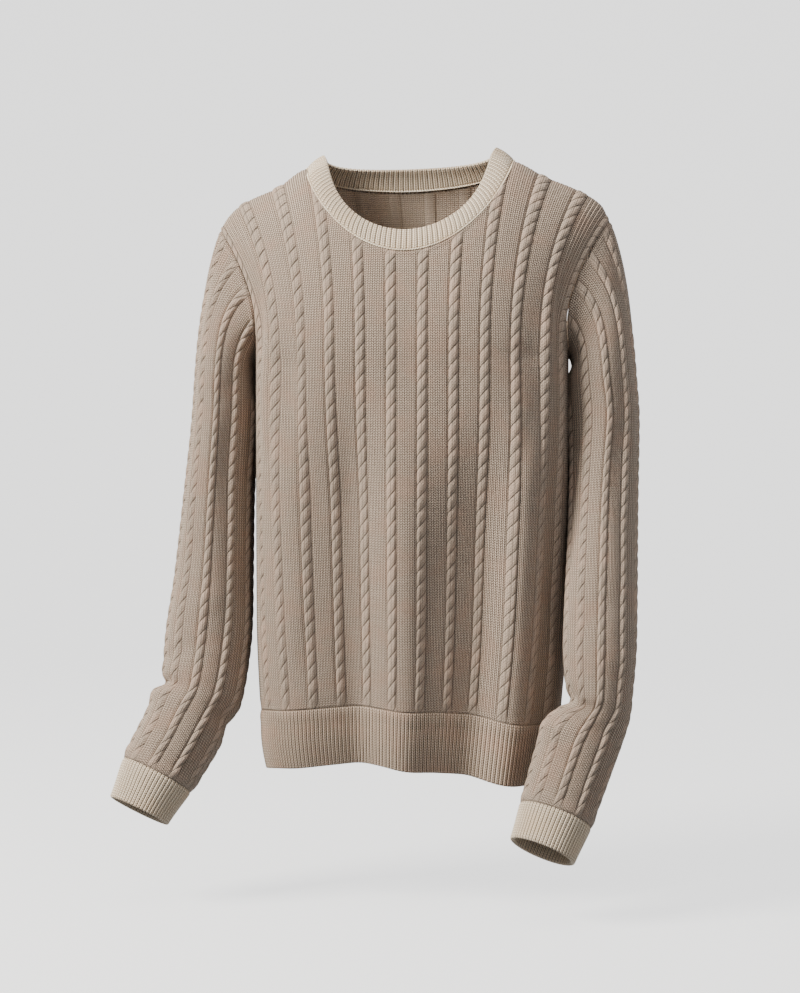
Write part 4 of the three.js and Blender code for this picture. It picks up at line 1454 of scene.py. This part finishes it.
@dataclass(frozen=True)
class LambswoolKnit:
    """Soft woollen yarn, carded from dyed and undyed fleece and lightly milled after knitting.

    Carding mixes light and dark fibres, so the colour is a heather that changes from stitch to
    stitch and in faint streaks along each course. Milling raises a short nap: no gloss, soft
    light along the edges of the forms, and stitches whose outlines are a little blurred.

    Attributes:
        name: Name of the finish.
        stitch: What the face shows.
        crest: Colour on the raised yarn.
        groove: Colour between stitches: painted shade, where the nap shades itself.
        warm: Colour of the warmest fleece in the mix.
        heather: How far the fibres' own colours differ, as a share of the value.
        depth: Depth of a stitch, in millimetres.
        nap: Depth of the nap's bumps, in millimetres.
        sheen: Strength of the nap's light along edges.
    """

    name: str
    stitch: Stitch
    crest: str
    groove: str
    warm: str
    heather: float = 0.3
    depth: float = 0.8
    nap: float = 0.2
    sheen: float = 0.25

    ROUGHNESS = 0.9
    WOOL_IOR = 1.54
    SPECULAR = 0.2
    SHEEN_ROUGHNESS = 0.45
    STITCH_SLANT = 1.9
    NAP_SIZE_MM = 0.7
    HEATHER_SIZE_MM = 2.4
    CLOUD_SIZE_MM = 26.0
    STREAK_WALES = 7.0
    YARNS_IN_STRAND = 4.0
    CLOSED_SHARE = 0.6
    FIBRE_SHARE = 1.3
    STREAK_SHARE = 0.7
    CREASE_SHADE = (0.14, 0.34)
    RIGHT_SHADE = 0.42
    LEFT_SHADE = 0.1
    ROPE_SHADE = 0.12
    RIB_SHADE = 0.55
    CREASE_DIP_MM = 0.9
    CABLE_BACK_MM = 2.0

    def material(self) -> bpy.types.Material:
        """Makes the material.

        Returns:
            The new material.
        """
        made = bpy.data.materials.new(self.name)
        made.use_nodes = True
        tree = made.node_tree
        tree.nodes.clear()

        def maths(operation: str, *inputs: Socket | float) -> Socket:
            settings = {n: v for n, v in enumerate(inputs) if isinstance(v, (int, float))}
            links = {f"in{n}": v for n, v in enumerate(inputs) if not isinstance(v, (int, float))}
            settings["operation"] = operation
            return add_node(tree, "ShaderNodeMath", settings, **links).outputs[0]

        def stepped(value: Socket, low: float, high: float) -> Socket:
            settings = {"interpolation_type": "SMOOTHSTEP", "From Min": low, "From Max": high}
            return add_node(tree, "ShaderNodeMapRange", settings, Value=value).outputs[0]

        def folded(value: Socket) -> Socket:
            return maths("ABSOLUTE", maths("SUBTRACT", maths("FRACT", value), 0.5))

        def noise(size_mm: float, detail: float, place: Socket) -> Socket:
            settings = {"Scale": 1 / (size_mm * MM), "Detail": detail, "Roughness": 0.6}
            return add_node(tree, "ShaderNodeTexNoise", settings, Vector=place).outputs["Fac"]

        def map_of(layer: str) -> list[Socket]:
            uv = add_node(tree, "ShaderNodeUVMap", {"uv_map": layer}).outputs[0]
            return list(add_node(tree, "ShaderNodeSeparateXYZ", {}, Vector=uv).outputs)[:2]

        wale, course = map_of("Stitches")
        strands, rope_place = map_of("Rope")
        rope_side = maths("ABSOLUTE", rope_place)
        on_rope = maths("LESS_THAN", rope_side, 1.0)

        # The V of a stitch: two legs that rise from the middle of the wale to its sides
        from_middle = folded(wale)
        if self.stitch is Stitch.PURL:
            row = maths("MULTIPLY_ADD", from_middle, 0.9, course)
        else:
            row = maths("MULTIPLY_ADD", from_middle, -self.STITCH_SLANT, course)
        loop = maths("MULTIPLY_ADD", maths("POWER", maths("MULTIPLY", folded(row), 2.0), 2.0), -1.0, 1.0)
        from_side = maths("SUBTRACT", 0.5, from_middle)
        leg = maths("MULTIPLY", maths("MULTIPLY", from_middle, from_side), 16.0)
        if self.stitch is Stitch.PURL:
            leg = maths("MULTIPLY_ADD", leg, -0.45, 1.0)
        height = stepped(maths("MULTIPLY", leg, loop), 0.05, 0.85)

        place = add_node(tree, "ShaderNodeTexCoord", {}).outputs["Object"]
        nap = noise(self.NAP_SIZE_MM, 2.0, place)
        fibre = noise(self.HEATHER_SIZE_MM, 3.0, place)
        cloud = noise(self.CLOUD_SIZE_MM, 3.0, place)
        streak_place = add_node(
            tree, "ShaderNodeCombineXYZ", {}, X=maths("DIVIDE", wale, self.STREAK_WALES), Y=course
        ).outputs[0]
        streak = add_node(tree, "ShaderNodeTexNoise", {"Scale": 1.0, "Detail": 1.0}, Vector=streak_place)

        if self.stitch is Stitch.CABLED:
            # A cable's stitches close up, and its strands show yarns along their own length
            yarns = maths("MULTIPLY", folded(maths("MULTIPLY", strands, self.YARNS_IN_STRAND)), 2.0)
            smooth = maths("MULTIPLY_ADD", yarns, -0.34, 0.78)
            closed = maths("MULTIPLY", on_rope, self.CLOSED_SHARE)
            height = add_node(tree, "ShaderNodeMix", {}, Factor=closed, A=height, B=smooth).outputs[0]

        # The colour runs from the groove's painted shade up to the crest colour as the stitch rises.
        yarn = add_node(
            tree,
            "ShaderNodeMix",
            {"data_type": "RGBA", 6: linear(self.groove), 7: linear(self.crest)},
            Factor=height,
        ).outputs[2]
        warmth = maths("MULTIPLY", stepped(cloud, 0.42, 0.7), height)
        yarn = add_node(
            tree,
            "ShaderNodeMix",
            {"data_type": "RGBA", 7: linear(self.warm)},
            in0=warmth,
            in6=yarn,
        ).outputs[2]
        tone = maths("MULTIPLY", streak.outputs["Fac"], self.STREAK_SHARE)
        spread = maths("ADD", maths("MULTIPLY", fibre, self.FIBRE_SHARE), tone)
        value = maths("MULTIPLY_ADD", maths("SUBTRACT", spread, 1.0), self.heather, 1.0)
        if self.stitch is Stitch.CABLED:
            # Painted shade in the crease between strands, heavier towards the rope's right side
            least, more = self.CREASE_SHADE
            crease_shade_strength = maths("MULTIPLY_ADD", stepped(rope_place, -0.9, 0.3), more, least)
            dark = maths("MULTIPLY", stepped(folded(strands), 0.38, 0.5), on_rope)
            crease = maths("MULTIPLY", dark, crease_shade_strength)
            # Painted shade along the rope's edges, much heavier on the right edge than on the left
            right = stepped(maths("ABSOLUTE", maths("SUBTRACT", rope_place, 1.06)), 0.24, 0.0)
            left = stepped(maths("ABSOLUTE", maths("ADD", rope_place, 1.08)), 0.22, 0.0)
            left, right = maths("MULTIPLY", left, self.LEFT_SHADE), maths("MULTIPLY", right, self.RIGHT_SHADE)
            beside = maths("ADD", right, left)
            shade = maths("MULTIPLY", maths("SUBTRACT", 1.0, crease), maths("SUBTRACT", 1.0, beside))
            denser = maths("MULTIPLY_ADD", on_rope, -self.ROPE_SHADE, 1.0)
            value = maths("MULTIPLY", value, maths("MULTIPLY", shade, denser))
        if self.stitch is Stitch.RIB:
            # Painted shade in the narrow grooves between ribs
            between = stepped(folded(wale), 0.28, 0.5)
            value = maths("MULTIPLY", value, maths("MULTIPLY_ADD", between, -self.RIB_SHADE, 1.0))
        tinted = add_node(
            tree, "ShaderNodeVectorMath", {"operation": "SCALE"}, in0=yarn, Scale=value
        ).outputs[0]

        relief = maths("MULTIPLY", height, self.depth)
        if self.stitch is Stitch.CABLED:
            dip = maths("MULTIPLY", stepped(folded(strands), 0.36, 0.5), on_rope)
            relief = maths("MULTIPLY_ADD", dip, -self.CREASE_DIP_MM, relief)
        if self.stitch is Stitch.PURL:
            hollow = maths("SUBTRACT", 1.0, maths("MULTIPLY", rope_side, rope_side))
            relief = maths("MULTIPLY_ADD", maths("MAXIMUM", hollow, 0.0), self.CABLE_BACK_MM, relief)
        relief = maths("MULTIPLY_ADD", nap, self.nap, relief)
        bump = add_node(tree, "ShaderNodeBump", {"Strength": 1.0, "Distance": MM}, Height=relief)
        shader = add_node(
            tree,
            "ShaderNodeBsdfPrincipled",
            {
                "Roughness": self.ROUGHNESS,
                "IOR": self.WOOL_IOR,
                "Specular IOR Level": self.SPECULAR,
                "Sheen Weight": self.sheen,
                "Sheen Roughness": self.SHEEN_ROUGHNESS,
                "Sheen Tint": linear("#FFF0DE"),
            },
            Base_Color=tinted,
            Normal=bump.outputs[0],
        )
        add_node(tree, "ShaderNodeOutputMaterial", {}, Surface=shader.outputs[0])
        return made


@dataclass(frozen=True)
class PaperBackdrop:
    """Matt background paper, lit evenly from behind: a flat pale grey with no grain.

    Attributes:
        name: Name of the finish.
        colour: Colour that takes the studio's light and the garment's shadow.
        glow: Strength of its own even light.
    """

    name: str = "pale_backdrop_paper"
    colour: str = "#A0A09F"
    glow: float = 1.68

    def material(self) -> bpy.types.Material:
        """Makes the material.

        Returns:
            The new material.
        """
        made = bpy.data.materials.new(self.name)
        made.use_nodes = True
        tree = made.node_tree
        tree.nodes.clear()
        settings = {
            "Base Color": linear(self.colour),
            "Roughness": 0.95,
            "Specular IOR Level": 0.1,
            "Emission Color": linear("#FFFFFF"),
            "Emission Strength": self.glow,
        }
        shader = add_node(tree, "ShaderNodeBsdfPrincipled", settings)
        add_node(tree, "ShaderNodeOutputMaterial", {}, Surface=shader.outputs[0])
        return made


# The groove colours below are painted shade between stitches.
CABLED_TAUPE = LambswoolKnit(
    "taupe_lambswool_cabled", Stitch.CABLED, "#DAC5B1", "#5C4A3B", "#D2B39D", depth=1.1
)
# The purl side's colours are lightened, as painted light on the inside of the garment.
PURL_TAUPE_PAINTED_LIGHT = LambswoolKnit("taupe_lambswool_purl_side_painted_light", Stitch.PURL, "#EAD7C3", "#B8A28D", "#DFC5AE")
RIB_TAUPE = LambswoolKnit("taupe_lambswool_rib", Stitch.RIB, "#D3BEA9", "#6A5746", "#CDAE98", depth=0.6)
RIB_CREAM = LambswoolKnit(
    "cream_lambswool_rib", Stitch.RIB, "#F8EAD3", "#A88D70", "#EFD9BC", heather=0.12, depth=0.5
)


def dress(piece: bpy.types.Object, outside: bpy.types.Material, inside: bpy.types.Material) -> None:
    """Gives a wall its two finishes."""
    piece.data.materials.append(outside)
    piece.data.materials.append(inside)


@dataclass
class Studio:
    """A pale sweep of paper, a large soft light at the upper left, and the camera.

    Attributes:
        floor_z: Height of the floor, in metres.
        half_width: Half the paper's width.
        near: How far the paper comes towards the camera.
        far: Where the paper turns up.
        bend: Radius of its turn.
        top: How high it goes.
    """

    floor_z: float = -0.735
    half_width: float = 6.0
    near: float = -6.0
    far: float = 2.6
    bend: float = 1.6
    top: float = 5.0

    target: tuple[float, float, float] = (-0.009, 0.0, -0.3315)
    azimuth: float = 4.0
    distance: float = 1.9
    sensor: float = 36.0
    frame_height: float = 0.993

    def paper(self) -> bpy.types.Object:
        """Rolls out the floor and backdrop in one sweep."""
        steps = 24
        profile = [(self.near, self.floor_z), (self.far, self.floor_z)]
        for number in range(1, steps + 1):
            angle = number / steps * math.pi / 2
            profile.append(
                (
                    self.far + self.bend * math.sin(angle),
                    self.floor_z + self.bend * (1 - math.cos(angle)),
                )
            )
        profile.append((self.far + self.bend, self.top))
        points = [(side * self.half_width, y, z) for y, z in profile for side in (-1, 1)]
        faces = [(2 * n, 2 * n + 1, 2 * n + 3, 2 * n + 2) for n in range(len(profile) - 1)]
        mesh = bpy.data.meshes.new("backdrop_paper")
        mesh.from_pydata(points, [], faces)
        mesh.polygons.foreach_set("use_smooth", np.ones(len(faces), bool))
        made = bpy.data.objects.new("backdrop_paper", mesh)
        bpy.context.scene.collection.objects.link(made)
        made.data.materials.append(PaperBackdrop().material())
        made.visible_diffuse = False
        return made

    def softbox(
        self, name: str, place: tuple[float, float, float], size: float, watts: float, tint: str
    ) -> bpy.types.Object:
        """Hangs a square soft light that looks at the garment.

        Args:
            name: Name of the light.
            place: Where it hangs.
            size: Length of its sides.
            watts: Its power.
            tint: Its colour.

        Returns:
            The light.
        """
        lamp = bpy.data.lights.new(name, "AREA")
        lamp.shape = "SQUARE"
        lamp.size = size
        lamp.energy = watts
        lamp.color = linear(tint)[:3]
        made = bpy.data.objects.new(name, lamp)
        made.location = place
        aim = Vector(self.target) - Vector(place)
        made.rotation_euler = aim.to_track_quat("-Z", "Y").to_euler()
        bpy.context.scene.collection.objects.link(made)
        return made

    def world(self, strength: float) -> None:
        """Fills the room with an even pale light."""
        world = bpy.data.worlds.new("studio_room")
        world.use_nodes = True
        world.node_tree.nodes["Background"].inputs["Color"].default_value = linear("#F4F5F6")
        world.node_tree.nodes["Background"].inputs["Strength"].default_value = strength
        bpy.context.scene.world = world

    def camera(self) -> bpy.types.Object:
        """Sets the camera at the photograph's angle, where a pixel is a millimetre."""
        lens = bpy.data.cameras.new("photo_camera")
        lens.sensor_width = self.sensor
        lens.lens = self.sensor * self.distance / self.frame_height
        made = bpy.data.objects.new("photo_camera", lens)
        turn = math.radians(self.azimuth)
        back = Vector((math.sin(turn), -math.cos(turn), 0.0))
        made.location = Vector(self.target) + back * self.distance
        made.rotation_euler = (-back).to_track_quat("-Z", "Y").to_euler()
        bpy.context.scene.collection.objects.link(made)
        bpy.context.scene.camera = made
        return made

    def build(self) -> None:
        """Sets up the paper, the lights and the camera."""
        self.paper()
        self.softbox("key_light", (-1.95, -1.42, 1.42), 1.1, 205.0, "#FFFAF2")
        self.softbox("top_light", (0.1, -1.0, 2.2), 1.6, 26.0, "#FFFFFF")
        self.softbox("fill_light", (2.6, -2.6, 0.2), 2.4, 6.0, "#F4F7FF")
        self.world(0.4)
        self.camera()


def main() -> None:
    """Builds the sweater piece by piece, then the studio."""
    logging.basicConfig(level=logging.INFO, format="%(message)s")
    used = (CABLED_TAUPE, PURL_TAUPE_PAINTED_LIGHT, RIB_TAUPE, RIB_CREAM)
    finishes = {finish: finish.material() for finish in used}
    form = BodyForm()
    pieces: list[bpy.types.Object] = []

    def add(builder: Builder, outside: LambswoolKnit, inside: LambswoolKnit) -> None:
        piece = builder()
        dress(piece, finishes[outside], finishes[inside])
        pieces.append(piece)
        LOG.info("%s: %d faces", piece.name, len(piece.data.polygons))

    for face in Face:
        add(Panel(form, face).build, CABLED_TAUPE, PURL_TAUPE_PAINTED_LIGHT)
        add(HemBand(form, face).build, RIB_TAUPE, RIB_TAUPE)
    for side in Side:
        sleeve = Sleeve(form, side)
        add(sleeve.build, CABLED_TAUPE, PURL_TAUPE_PAINTED_LIGHT)
        add(Cuff(sleeve).build, RIB_CREAM, RIB_CREAM)
    neckband = Neckband(form)
    add(neckband.build, RIB_CREAM, RIB_CREAM)
    add(lambda: neckband.linking("neck_linking_outside", 0.9, -0.3), RIB_CREAM, RIB_CREAM)
    add(lambda: neckband.linking("neck_linking_inside", -2.9, 1.2), RIB_CREAM, RIB_CREAM)
    triangles = sum(len(polygon.vertices) - 2 for piece in pieces for polygon in piece.data.polygons)
    LOG.info("all pieces: %d triangles", triangles)
    Studio().build()


if __name__ == "__main__":
    main()
